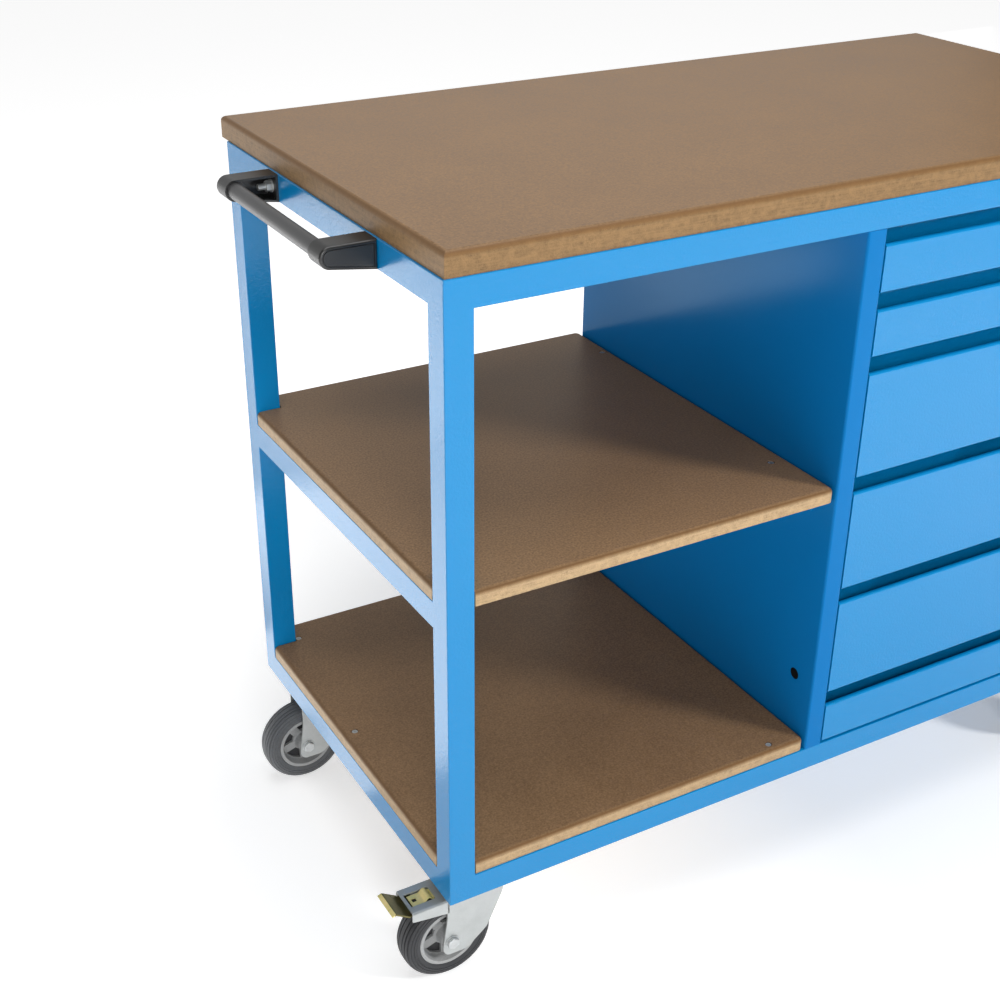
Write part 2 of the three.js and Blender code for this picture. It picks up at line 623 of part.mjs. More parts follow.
function rim() {
  const hubHalf = forkInside - HUB_END_GAP;
  const hubRadius = HUB_DIAMETER / 2;
  const ringInside = rimRadius - RIM_RING;
  const half = RIM_WEB / 2;
  const body = turned([
    [axleBore, -hubHalf], [hubRadius, -hubHalf], [hubRadius, -half], [ringInside, -half],
    [ringInside, -rimHalf], [rimRadius, -rimHalf], [rimRadius, rimHalf], [ringInside, rimHalf],
    [ringInside, half], [hubRadius, half], [hubRadius, hubHalf], [axleBore, hubHalf],
  ], ROUND_STEPS);
  const windowInside = hubRadius + RIM_RING / 2;
  const windowOutside = ringInside - RIM_RING / 2;
  const windows = Array.from({ length: RIM_WINDOWS }, (_, i) => {
    const middle = Math.PI / 2 + (i * 2 * Math.PI) / RIM_WINDOWS;
    const reach = (radius) => Math.PI / RIM_WINDOWS - Math.asin(RIM_SPOKE_WIDTH / 2 / radius);
    const shape = new THREE.Shape();
    const outer = reach(windowOutside);
    const inner = reach(windowInside);
    shape.absarc(hubX, hubZ, windowOutside, middle - outer, middle + outer);
    shape.absarc(hubX, hubZ, windowInside, middle + inner, middle - inner, true);
    shape.closePath();
    return plateXZ(shape, [-half - OVERSHOOT, half + OVERSHOOT], WINDOW_STEPS);
  });
  return cut(body, windows);
}

function tyre() {
  const seat = rimRadius + TYRE_SEAT_GAP;
  const tread = WHEEL_DIAMETER / 2;
  const wall = WHEEL_WIDTH / 2;
  const flat = TYRE_TREAD_WIDTH / 2;
  const shoulder = flat + TYRE_SHOULDER_WIDTH;
  const rightHalf = [
    [tread, flat],
    [tread - TYRE_SHOULDER_DROP, shoulder],
    [tread - TYRE_EDGE_DROP, (shoulder + 2 * wall) / 3],
    [(seat + tread) / 2, wall],
    [seat, rimHalf],
  ];
  const leftHalf = rightHalf.map(([radius, y]) => [radius, -y]).reverse();
  return turned([...leftHalf, ...rightHalf], WHEEL_STEPS);
}

// Pedal: a tongue on its pin between the cheeks, and a tread that rises outside the housing
function pedal() {
  const tongueHalf = forkInside - PEDAL_TONGUE_GAP;
  const knee = [housingEnd - PEDAL_SHEET, housingUnder - PEDAL_SHEET * 2];
  const edge = [knee[0] - PEDAL_TREAD_LENGTH, knee[1] + PEDAL_TREAD_RISE];
  const lip = [edge[0] - PEDAL_LIP, edge[1] - PEDAL_LIP_DROP];
  const pinRadius = PEDAL_PIN_DIAMETER / 2;
  const tongueZ = pedalPinZ + PEDAL_TONGUE_RISE;
  const tongue = stripShape([[pedalPinX + pinRadius, tongueZ], [pedalPinX, tongueZ], knee], PEDAL_SHEET);
  const tread = stripShape([knee, edge, lip], PEDAL_SHEET);
  return join([
    plateXZ(tongue, [-tongueHalf, tongueHalf]),
    plateXZ(tread, [-forkInside, forkInside]),
    cylinderY(pinRadius, [-forkOutside, forkOutside], FINE_STEPS, pedalPinX, pedalPinZ),
  ]);
}

// Leaf spring that is held under the housing's top and arches up through its window
function leafSpring() {
  const seatZ = housingUnder - SPRING_SEAT_GAP - SPRING_SHEET / 2;
  const seatX = housingRoot - SPRING_SEAT_GAP;
  const humpStart = seatX - SPRING_FLAT;
  const hump = Array.from({ length: HUMP_STEPS + 1 }, (_, i) => {
    const share = i / HUMP_STEPS;
    const rise = (SPRING_HUMP_RISE * (1 - Math.cos(share * 2 * Math.PI))) / 2;
    return [humpStart - share * SPRING_HUMP_LENGTH, seatZ + rise];
  });
  const tail = [humpStart - SPRING_HUMP_LENGTH - SPRING_TAIL, seatZ];
  const strip = stripShape([[seatX, seatZ], ...hump, tail], SPRING_SHEET);
  return plateXZ(strip, [-SPRING_WIDTH / 2, SPRING_WIDTH / 2]);
}

// Plate welded under a corner of the frame, with its inner corner clipped
function cornerPlate(inwardX, inwardY) {
  const near = CORNER_PLATE_INSET;
  const far = near + CORNER_PLATE_SIZE;
  const clip = CORNER_PLATE_CLIP;
  const corners = [[near, near], [far, near], [far, far - clip], [far - clip, far], [near, far]];
  const outline = new THREE.Shape(corners.map(([x, y]) => new THREE.Vector2(inwardX * x, inwardY * y)));
  const settings = { depth: CORNER_PLATE_THICKNESS, bevelEnabled: false };
  return solidOf(new THREE.ExtrudeGeometry(outline, settings));
}

for (const [face, braked, fromY, y] of [
  ['front', true, 0, CASTOR_INSET_Y],
  ['rear', false, FRAME_DEPTH, FRAME_DEPTH - CASTOR_INSET_Y],
]) {
  for (const [end, fromX, x] of [
    ['left', 0, CASTOR_INSET_X],
    ['right', FRAME_LENGTH, FRAME_LENGTH - CASTOR_INSET_X],
  ]) {
    const corner = `${face}_${end}`;
    const plate = cornerPlate(fromX > 0 ? -1 : 1, fromY > 0 ? -1 : 1);
    addPart(table, `corner_plate_${corner}`, plate, paint(), [fromX, fromY, baseBottom + topPlateTop]);
    const castor = new THREE.Group();
    castor.position.set(x, y, baseBottom);
    table.add(castor);
    addPart(castor, `castor_plate_${corner}`, topPlate(), zinc());
    addPart(castor, `castor_fork_${corner}`, fork(braked), zinc());
    addPart(castor, `castor_axle_${corner}`, axle(), zinc());
    addPart(castor, `castor_rim_${corner}`, rim(), rimPlastic());
    addPart(castor, `castor_tyre_${corner}`, tyre(), tyreRubber());
    if (braked) {
      addPart(castor, `brake_pedal_${corner}`, pedal(), yellowZinc());
      addPart(castor, `brake_spring_${corner}`, leafSpring(), yellowZinc());
    }
  }
}

export default table;
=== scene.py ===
"""Assembly table on castors: its looks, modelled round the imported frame. Metres, +Z up."""

import math

import bmesh
import bpy
from bpy.props import FloatProperty, FloatVectorProperty, PointerProperty
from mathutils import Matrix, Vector


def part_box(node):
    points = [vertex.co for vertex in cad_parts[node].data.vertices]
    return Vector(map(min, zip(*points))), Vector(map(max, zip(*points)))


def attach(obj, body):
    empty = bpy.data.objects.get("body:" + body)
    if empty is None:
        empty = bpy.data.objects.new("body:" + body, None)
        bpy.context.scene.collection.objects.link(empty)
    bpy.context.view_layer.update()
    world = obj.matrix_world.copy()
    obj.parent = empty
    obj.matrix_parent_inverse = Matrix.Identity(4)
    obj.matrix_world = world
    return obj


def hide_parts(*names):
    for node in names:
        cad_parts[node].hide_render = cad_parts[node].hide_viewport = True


bl_info = {
    "name": "Assembly Table",
    "version": (1, 0, 0),
    "blender": (4, 5, 0),
    "location": "View3D > Sidebar > Assembly Table",
    "description": "Models a castor-mounted assembly table with shelves, drawers and a push handle",
    "category": "Object",
}

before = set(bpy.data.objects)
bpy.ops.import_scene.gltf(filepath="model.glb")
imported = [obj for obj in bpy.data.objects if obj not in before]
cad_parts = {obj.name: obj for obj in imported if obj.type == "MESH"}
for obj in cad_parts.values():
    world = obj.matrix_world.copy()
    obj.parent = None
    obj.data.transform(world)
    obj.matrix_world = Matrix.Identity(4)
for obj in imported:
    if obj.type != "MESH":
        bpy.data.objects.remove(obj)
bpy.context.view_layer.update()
X, Y, Z = Vector((1, 0, 0)), Vector((0, 1, 0)), Vector((0, 0, 1))
MM = 0.001
FULL_TURN = 2 * math.pi

# Distances within which places count as the same, and vertices are merged
TOUCH, DOUBLES = 0.01 * MM, 1e-6

# Castors with a brake and without one
BRAKED = ("front_left", "front_right")
PLAIN = ("rear_left", "rear_right")
CORNERS = BRAKED + PLAIN

# Sides of round pieces, by their size
FINE_SIDES, MID_SIDES, SMALL_SIDES, SCREW_SIDES, HEXAGON = 64, 40, 32, 24, 6

# Largest angle in degrees between smooth faces, on boards and sheets
SHEET_ANGLE = 30

# Shelf screws, in millimetres from the frame's front left corner
SCREWS = {
    "mid_shelf": ((538, 520), (527, 100)),
    "base_shelf": ((18, 315), (499, 15), (41, 569), (499, 569)),
}

# Cabinet and drawers
FLANGE_LIP = 15 * MM
HOLE_SETBACK, HOLE_HEIGHT, HOLE_RADIUS = 38 * MM, 104 * MM, 8.5 * MM
# A near-black disc fills each panel hole: painted shade for the hole's shadowed inside
HOLE_SHADE_GAP, HOLE_SHADE_RISE = 0.1 * MM, 0.2 * MM
LEDGE_SHEET = 2 * MM
DRAWERS = 6
GRIP_DEPTH, GRIP_DROP, GRIP_LIP = 25 * MM, 15 * MM, 8 * MM
RUNNER_DEPTH, RUNNER_SETBACK, RUNNER_SPAN = 2 * MM, 40 * MM, (14 * MM, 26 * MM)

# Handle brackets
BRACKET_WALL, TIP_STEPS = 3 * MM, 24
SOCKET_SPAN, SOCKET_GAP = (7 * MM, 60 * MM), 0.3 * MM

# Castor sheets and wheels
FORK_SHEET, HOUSING_SHEET, PEDAL_SHEET, SPRING_SHEET = 3 * MM, 2 * MM, 2 * MM, 1.2 * MM
AXLE_RADIUS, AXLE_BORE = 5 * MM, 5.3 * MM
SPOKES, SPOKE_HALF = 5, 6.6

# Softboxes: name, place, target and size in metres
SOFTBOXES = (
    ("overhead", (-0.3, -0.2, 3.2), (0, 0, 0.5), 2.6),
    ("key", (2.1, -2.9, 2.3), (0, 0, 0.6), 0.9),
    ("fill", (-1.7, -3.0, 1.7), (0, 0, 0.6), 1.6),
    ("side", (-2.2, 1.7, 0.7), (-0.4, 0.3, 0.8), 1.2),
)

# Floor: its side, and the ranges over which its glow changes outwards and to the right, in metres
FLOOR_SIDE = 40
GLOW_FAR, GLOW_FADE, GLOW_RIGHT = (0.7, 1.4), (0.9, 1.5), (-0.4, 0.1)

# White backdrop: place, width and height in metres
BACKDROP = ((0.5, 4.2, 1.8), 9, 3.6)

# Bright cards on the floor: name, centre, width and depth in metres, turn in degrees and radiance
CARDS = (
    ("low_card", (-0.67, 0.37), (0.17, 0.50), 0, 1.3),
    ("near_card", (-1.03, 0.62), (0.54, 1.00), 0, 2.05),
    ("far_card", (-1.625, 2.125), (0.60, 2.06), 18.4, 2.5),
)


# Sizes and colours that a user may change


def length(label, text, default):
    return FloatProperty(name=label, description=text, default=default, min=0, unit="LENGTH")


def colour(label, text, default):
    return FloatVectorProperty(
        name=label, description=text, default=default, size=3, min=0, max=1, subtype="COLOR")


class TableSizes(bpy.types.PropertyGroup):
    weld_radius: length("Weld radius", "Rounding of the tubes and of their welded corners", 0.003)
    worktop_edge: length("Worktop edge", "Radius of the worktop's upper edges", 0.007)
    shelf_edge: length("Shelf edge", "Radius of the shelves' upper edges", 0.006)
    shelf_corner: length("Shelf corner", "Radius of the shelves' corners at the cabinet", 0.009)
    sheet: length("Sheet", "Thickness of the cabinet's and the drawers' sheet", 0.0015)
    bend: length("Bend", "Outer radius of the bends in the sheet", 0.0025)
    board_reach: length("Board reach", "How far the boards' worn ends stand out past their solids", 0.0025)
    screw_head: length("Screw head", "Diameter of the shelf screws' heads", 0.008)
    bracket_round: length("Bracket rounding", "Rounding of the handle brackets' edges", 0.003)
    fork_bend: length("Fork bend", "Radius of the bends of the castor forks", 0.006)


class TableFinishes(bpy.types.PropertyGroup):
    paint: colour("Paint", "Powder coat of the frame and the cabinet", (0.001, 0.197, 0.462))
    paint_deep: colour("Deep paint", "Darker cloud in the powder coat", (0.001, 0.184, 0.434))
    # The side panels wear the frame's blue powder coat; this darker, deeper blue is painted shade for the
    # bay's dim inside
    panel: colour("Panel paint", "Powder coat of the cabinet's side panels", (0.001, 0.140, 0.395))
    board_face: colour("Board face", "Sanded face of the fibreboard", (0.330, 0.202, 0.104))
    board_dark: colour("Board fibres", "Dark fibres in the face", (0.160, 0.090, 0.041))
    board_band: colour("Board band", "Machined round edge of the fibreboard", (0.165, 0.087, 0.035))
    board_edge: colour("Board edge", "Sawn edge of the shelves", (0.40, 0.275, 0.148))
    worktop_edge: colour("Worktop edge", "Oiled edge of the worktop", (0.22, 0.130, 0.055))
    zinc: colour("Zinc", "Bright zinc plating", (0.50, 0.52, 0.515))
    bolt: colour("Bolt", "Satin zinc of the axle bolts", (0.62, 0.64, 0.64))
    yellow_zinc: colour("Yellow zinc", "Yellow passivated zinc", (1.00, 0.82, 0.38))
    green_zinc: colour("Green tint", "Green shimmer in the yellow zinc", (0.74, 0.68, 0.26))
    # Darker olive copy of the yellow zinc for the pedals' treads: painted shade and painted reflection of
    # dark surroundings on the same sheet as the lip
    olive_zinc: colour("Olive zinc", "Worn passivated zinc of the pedals' treads", (0.22, 0.195, 0.075))
    plastic: colour("Plastic", "Moulded plastic of the handle brackets", (0.009, 0.009, 0.009))
    grip: colour("Grip", "Coating of the handle tube", (0.040, 0.040, 0.041))
    rim: colour("Rim", "Moulded wheel rims", (0.27, 0.275, 0.275))
    # Near-black disc in each rim's web: painted shade for the shadowed pockets between the spokes
    core: colour("Rim core", "Dark inside of the wheel rims", (0.022, 0.022, 0.024))
    rubber: colour("Rubber", "Tyres", (0.027, 0.028, 0.031))
    # Lighter copy of the front tyres' rubber for the rear tyres: partly dust, partly painted sheen for the
    # bright floor their treads reflect
    dusty_rubber: colour("Dusty rubber", "Dusty tyres at the rear", (0.080, 0.084, 0.090))
    steel: colour("Runner steel", "Drawer runners", (0.60, 0.61, 0.61))


def strength(label, text, default, **settings):
    return FloatProperty(name=label, description=text, default=default, min=0, **settings)


class StageSettings(bpy.types.PropertyGroup):
    floor: colour("Floor", "Pale studio floor", (0.80, 0.80, 0.80))
    near_glow: strength("Near glow", "Light of the floor round the table", 0.51)
    far_glow: strength("Far glow", "Light of the floor further off", 0.82)
    sky: strength("Sky", "Brightness of the white room", 0.12)
    overhead: strength("Overhead", "Overhead softbox", 51, unit="POWER")
    key: strength("Key", "Softbox at the front right", 104, unit="POWER")
    fill: strength("Fill", "Softbox at the front left", 52, unit="POWER")
    side: strength("Side", "Low softbox at the rear left", 12, unit="POWER")
    backdrop: strength("Backdrop", "White backdrop, seen only in gloss", 72, unit="POWER")
    card: strength("Cards", "Bright cards on the floor at the handle's end, seen only in gloss", 1.0)
    camera_place: FloatVectorProperty(
        name="Camera", description="Place of the camera", default=(-1.2096, -1.5565, 1.4736),
        size=3, subtype="TRANSLATION", unit="LENGTH")
    camera_turn: FloatVectorProperty(
        name="Camera turn", description="Direction of the camera",
        default=(math.radians(62.057), math.radians(-0.374), math.radians(-29.468)),
        size=3, subtype="EULER", unit="ROTATION")
    lens: FloatProperty(name="Lens", description="Focal length in millimetres", default=54.19, min=1)


# Modelling helpers


def clear_selection():
    if bpy.context.object is not None and bpy.context.object.mode != "OBJECT":
        bpy.ops.object.mode_set(mode="OBJECT")
    bpy.ops.object.select_all(action="DESELECT")


def make_active(piece):
    clear_selection()
    piece.select_set(True)
    bpy.context.view_layer.objects.active = piece


def settle(piece, name):
    """Names a piece and puts its place into its mesh."""
    make_active(piece)
    bpy.ops.object.transform_apply(location=True, rotation=True, scale=True)
    piece.name = name
    piece.data.name = name
    return piece


def block(name, low, high):
    """A box between two corners."""
    clear_selection()
    low, high = Vector(low), Vector(high)
    bpy.ops.mesh.primitive_cube_add(size=1, location=(low + high) / 2)
    bpy.context.object.scale = high - low
    return settle(bpy.context.object, name)


def rod(name, radius, start, end, sides=48):
    """A round or many-sided bar from one point to another."""
    clear_selection()
    start, end = Vector(start), Vector(end)
    axis = end - start
    bpy.ops.mesh.primitive_cylinder_add(
        vertices=sides, radius=radius, depth=axis.length, location=(start + end) / 2,
        rotation=axis.to_track_quat("Z", "Y").to_euler())
    return settle(bpy.context.object, name)


def select(piece, kind, test):
    """Goes into edit mode with only those vertices, edges or faces selected that pass a test."""
    make_active(piece)
    bpy.ops.object.mode_set(mode="EDIT")
    bpy.ops.mesh.select_mode(type=kind)
    bpy.ops.mesh.select_all(action="DESELECT")
    mesh = bmesh.from_edit_mesh(piece.data)
    parts = {"VERT": mesh.verts, "EDGE": mesh.edges, "FACE": mesh.faces}[kind]
    for part in parts:
        if test(part):
            part.select_set(True)
    mesh.select_flush_mode()
    bmesh.update_edit_mesh(piece.data)


def leave_edit():
    bpy.ops.object.mode_set(mode="OBJECT")


def close_up(piece):
    """Merges doubles and turns all faces outwards."""
    select(piece, "VERT", lambda vertex: True)
    bpy.ops.mesh.remove_doubles(threshold=DOUBLES)
    bpy.ops.mesh.normals_make_consistent(inside=False)
    leave_edit()


def round_edges(piece, radius, segments, test):
    select(piece, "EDGE", test)
    bpy.ops.mesh.bevel(offset=radius, segments=segments, affect="EDGES")
    leave_edit()
    return piece


def modify(piece, kind, **settings):
    """Adds a modifier and applies it."""
    make_active(piece)
    modifier = piece.modifiers.new(kind.title(), kind)
    for setting, value in settings.items():
        setattr(modifier, setting, value)
    bpy.ops.object.modifier_apply(modifier=modifier.name)
    return piece


def bevel_all(piece, width, segments=2, angle=40):
    return modify(piece, "BEVEL", width=width, segments=segments, limit_method="ANGLE",
                  angle_limit=math.radians(angle))


def combine(piece, tools, operation="DIFFERENCE"):
    """Cuts tools out of a piece, or joins them to it as one body."""
    for tool in tools:
        modify(piece, "BOOLEAN", object=tool, operation=operation, solver="EXACT")
        bpy.data.meshes.remove(tool.data)
    return piece


def gather(name, pieces):
    """Several pieces as one object."""
    make_active(pieces[0])
    for piece in pieces[1:]:
        piece.select_set(True)
    bpy.ops.object.join()
    return settle(bpy.context.object, name)


def copy_to(piece, name, shift):
    make_active(piece)
    bpy.ops.object.duplicate()
    copy = bpy.context.object
    copy.location = Vector(shift)
    return settle(copy, name)


def walk(name, points):
    """A line of edges that is extruded from point to point."""
    clear_selection()
    bpy.ops.mesh.primitive_plane_add(size=MM, location=points[0])
    piece = bpy.context.object
    bpy.ops.object.mode_set(mode="EDIT")
    bpy.ops.mesh.select_mode(type="VERT")
    bpy.ops.mesh.select_all(action="SELECT")
    bpy.ops.mesh.merge(type="CENTER")
    for before, after in zip(points, points[1:]):
        bpy.ops.mesh.extrude_vertices_move(TRANSFORM_OT_translate={"value": after - before})
    leave_edit()
    return settle(piece, name)


def extrude_all(piece, shift):
    select(piece, "VERT", lambda vertex: True)
    bpy.ops.mesh.extrude_region_move(TRANSFORM_OT_translate={"value": shift})
    leave_edit()


def near(place, points):
    return any((place - point).length < TOUCH for point in points)


def lies_at(edge, axis, place):
    """Whether an edge lies in the plane across axis 0, 1 or 2 at a place."""
    return all(abs(vertex.co[axis] - place) < TOUCH for vertex in edge.verts)


def plate(name, points, depth, rounding=0.0, segments=5):
    """An outline that is walked, filled, rounded at its corners and given its depth."""
    piece = walk(name, points)
    select(piece, "VERT", lambda vertex: True)
    bpy.ops.mesh.edge_face_add()
    if rounding:
        bpy.ops.mesh.bevel(offset=rounding, segments=segments, affect="VERTICES")
    leave_edit()
    extrude_all(piece, depth)
    close_up(piece)
    return piece


def folded_sheet(name, points, run, thickness, bend, segments=4):
    """A sheet that follows points in section, with rounded bends, and is as long as run."""
    piece = walk(name, points)
    extrude_all(piece, run)
    middles = [point + run / 2 for point in points[1:-1]]
    round_edges(piece, bend, segments, lambda edge: near(
        (edge.verts[0].co + edge.verts[1].co) / 2, middles))
    close_up(piece)
    return modify(piece, "SOLIDIFY", thickness=thickness, offset=0, use_even_offset=True)


def turned(name, profile, centre, steps=64):
    """A closed profile of radius and width points, spun about an axis along Y."""
    points = [centre + radius * Z + width * Y for radius, width in profile]
    piece = walk(name, points + points[:1])
    select(piece, "VERT", lambda vertex: True)
    bpy.ops.mesh.remove_doubles(threshold=DOUBLES)
    bpy.ops.mesh.spin(steps=steps, angle=FULL_TURN, center=centre, axis=Y)
    leave_edit()
    close_up(piece)
    return piece


def dress(piece, finish, body, nodes=(), angle=40):
    """Gives a finished piece its smoothing, its finish and the body it moves with, and hides the CAD nodes
    it replaces.
    """
    make_active(piece)
    bpy.ops.object.shade_smooth_by_angle(angle=math.radians(angle))
    modify(piece, "WEIGHTED_NORMAL", keep_sharp=True)
    piece.data.materials.clear()
    piece.data.materials.append(bpy.data.materials[finish + LOOK])
    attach(piece, body)
    if nodes:
        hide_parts(*nodes)
    return piece


def paint_node(node, finish):
    """Gives a CAD node that stays in view its finish."""
    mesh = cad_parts[node].data
    mesh.materials.clear()
    mesh.materials.append(bpy.data.materials[finish + LOOK])


# Finishes

LOOK = "_look"

# The part of its range that a noise mostly keeps to
MID_TONES = (0.3, 0.7)
PORE_TONES = (0.36, 0.64)
FACE_TONES = (0.31, 0.72)

# Depths from a board's top where its band and its sawn edge begin and are full, in edge radii
BAND_SPAN, EDGE_SPAN = (0.02, 0.25), (0.35, 1.20)


def shaded(tint, share):
    return [part * share for part in tint]


def grey(value):
    return (value, value, value)


def add_node(tree, kind, inputs=None, **settings):
    """A shader node with its settings, and its inputs by name or number as values or other outputs."""
    node = tree.nodes.new(kind)
    for setting, value in settings.items():
        setattr(node, setting, value)
    for socket, value in (inputs or {}).items():
        if isinstance(value, bpy.types.NodeSocket):
            tree.links.new(value, node.inputs[socket])
        else:
            node.inputs[socket].default_value = value
    return node


def mixed(tree, share, low, high):
    """One colour or the other, by a share."""
    low, high = (
        end if isinstance(end, bpy.types.NodeSocket) else (*end, 1) for end in (low, high))
    node = add_node(tree, "ShaderNodeMix", {0: share, 6: low, 7: high}, data_type="RGBA")
    return node.outputs[2]


def ranged(tree, value, low, high, to_low=0.0, to_high=1.0):
    node = add_node(tree, "ShaderNodeMapRange", {
        "Value": value, "From Min": low, "From Max": high, "To Min": to_low, "To Max": to_high})
    return node.outputs["Result"]


def noise(tree, place, scale, detail=3.0, roughness=0.55):
    node = add_node(tree, "ShaderNodeTexNoise", {
        "Vector": place, "Scale": scale, "Detail": detail, "Roughness": roughness})
    return node.outputs["Fac"]


def new_group(name, inputs, outputs):
    """An empty node group with named number inputs and outputs, and its two end nodes."""
    group = bpy.data.node_groups.new(name, "ShaderNodeTree")
    for label, default in inputs.items():
        socket = group.interface.new_socket(label, in_out="INPUT", socket_type="NodeSocketFloat")
        socket.default_value = default
    for label in outputs:
        group.interface.new_socket(label, in_out="OUTPUT", socket_type="NodeSocketFloat")
    return group, group.nodes.new("NodeGroupInput"), group.nodes.new("NodeGroupOutput")


def make_grain_group():
    """Mottle: soft clouds and fine specks in one value, and a height for bumps."""
    group, start, end = new_group(
        "mottle", {"Cloud scale": 8.0, "Speck scale": 600.0, "Speck share": 0.4}, ("Value", "Height"))
    place = add_node(group, "ShaderNodeTexCoord").outputs["Object"]
    cloud = noise(group, place, start.outputs["Cloud scale"], 4)
    speck = noise(group, place, start.outputs["Speck scale"], 2)
    value = add_node(group, "ShaderNodeMix", {0: start.outputs["Speck share"], 2: cloud, 3: speck})
    group.links.new(value.outputs[0], end.inputs["Value"])
    group.links.new(speck, end.inputs["Height"])
    return group


def make_streak_group():
    """Streaks along X and Y, as a cutter or a roller leaves them on a surface."""
    group, start, end = new_group("streaks", {"Scale": 900.0, "Stretch": 0.04}, ("Value",))
    place = add_node(group, "ShaderNodeTexCoord").outputs["Object"]
    share = start.outputs["Stretch"]
    stretch = add_node(group, "ShaderNodeCombineXYZ", {"X": share, "Y": share, "Z": 1}).outputs[0]
    long = add_node(group, "ShaderNodeVectorMath", {0: place, 1: stretch}, operation="MULTIPLY")
    group.links.new(noise(group, long.outputs[0], start.outputs["Scale"], 3), end.inputs["Value"])
    return group


def use_group(tree, name, **inputs):
    node = add_node(tree, "ShaderNodeGroup", node_tree=bpy.data.node_groups[name])
    for label, value in inputs.items():
        node.inputs[label.replace("_", " ")].default_value = value
    return node.outputs


def new_finish(name, **constants):
    """A material whose shader has these constants."""
    material = bpy.data.materials.new(name + LOOK)
    material.use_nodes = True
    shader = material.node_tree.nodes["Principled BSDF"]
    for label, value in constants.items():
        shader.inputs[label.replace("_", " ")].default_value = value
    return material.node_tree, shader


def set_looks(tree, shader, base, roughness, height, strength, distance):
    """Links a finish's colour, roughness and bump to its shader."""
    tree.links.new(base, shader.inputs["Base Color"])
    tree.links.new(roughness, shader.inputs["Roughness"])
    bump = add_node(tree, "ShaderNodeBump", {"Height": height, "Strength": strength, "Distance": distance})
    tree.links.new(bump.outputs["Normal"], shader.inputs["Normal"])


def make_paint(name, light, dark, gloss, sheen, peel):
    """Powder coat with the fine waves of orange peel."""
    tree, shader = new_finish(name, Specular_IOR_Level=gloss, Specular_Tint=sheen)
    grain = use_group(tree, "mottle", Cloud_scale=3.0, Speck_scale=270.0, Speck_share=0.15)
    base = mixed(tree, grain["Value"], dark, light)
    roughness = ranged(tree, grain["Value"], *MID_TONES, 0.14, 0.20)
    set_looks(tree, shader, base, roughness, grain["Height"], peel, 0.5 * MM)


def make_board(name, looks, top, edge_radius, painted_light_share, sawn):
    """Fibreboard: mottled face, darker machined rounding and a streaked lighter sawn edge, with each
    board's face made lighter or darker as painted light and shade.
    """
    tree, shader = new_finish(name, Specular_IOR_Level=0.30)
    place = add_node(tree, "ShaderNodeTexCoord").outputs["Object"]
    depth = add_node(tree, "ShaderNodeSeparateXYZ", {"Vector": place}).outputs["Z"]
    grain = use_group(tree, "mottle", Cloud_scale=9.0, Speck_scale=380.0, Speck_share=0.80)
    pores = use_group(tree, "mottle", Cloud_scale=160.0, Speck_scale=900.0, Speck_share=0.5)
    streaks = use_group(tree, "streaks", Scale=620.0, Stretch=0.05)
    # The face colours are scaled per board: painted light and shade
    fibres, clear = shaded(looks.board_dark, painted_light_share), shaded(looks.board_face, painted_light_share)
    face = mixed(tree, ranged(tree, grain["Value"], *FACE_TONES), fibres, clear)
    in_streak = ranged(tree, streaks["Value"], *MID_TONES)
    in_pore = ranged(tree, pores["Value"], *PORE_TONES)
    edge = mixed(tree, in_pore, mixed(tree, in_streak, shaded(sawn, 0.50), sawn), shaded(sawn, 1.15))
    band = mixed(tree, in_pore, shaded(looks.board_band, 0.85), looks.board_band)
    in_band = ranged(tree, depth, *(top - share * edge_radius for share in BAND_SPAN))
    in_edge = ranged(tree, depth, *(top - share * edge_radius for share in EDGE_SPAN))
    base = mixed(tree, in_edge, mixed(tree, in_band, face, band), edge)
    sanded = ranged(tree, grain["Value"], *MID_TONES, 0.36, 0.52)
    roughness = mixed(tree, in_band, sanded, grey(0.5))
    set_looks(tree, shader, base, roughness, grain["Height"], 0.18, 0.15 * MM)


def make_metal(name, light, dark, rough, cloud, metallic):
    """Plated metal with soft clouds in its tint and its gloss."""
    tree, shader = new_finish(name, Metallic=metallic)
    grain = use_group(tree, "mottle", Cloud_scale=cloud, Speck_scale=900.0, Speck_share=0.3)
    base = mixed(tree, ranged(tree, grain["Value"], 0.35, 0.65), dark, light)
    roughness = ranged(tree, grain["Value"], *MID_TONES, rough - 0.06, rough + 0.08)
    set_looks(tree, shader, base, roughness, grain["Height"], 0.06, 0.1 * MM)


def make_moulded(name, tint, gloss, rough, speck, strength):
    """Moulded plastic, coating or rubber with a fine texture and a little dust."""
    tree, shader = new_finish(name, Specular_IOR_Level=gloss)
    grain = use_group(tree, "mottle", Cloud_scale=14.0, Speck_scale=speck, Speck_share=0.5)
    base = mixed(tree, ranged(tree, grain["Value"], 0.4, 0.75), tint, shaded(tint, 1.4))
    roughness = ranged(tree, grain["Value"], *MID_TONES, rough - 0.06, rough + 0.08)
    set_looks(tree, shader, base, roughness, grain["Height"], strength, 0.2 * MM)


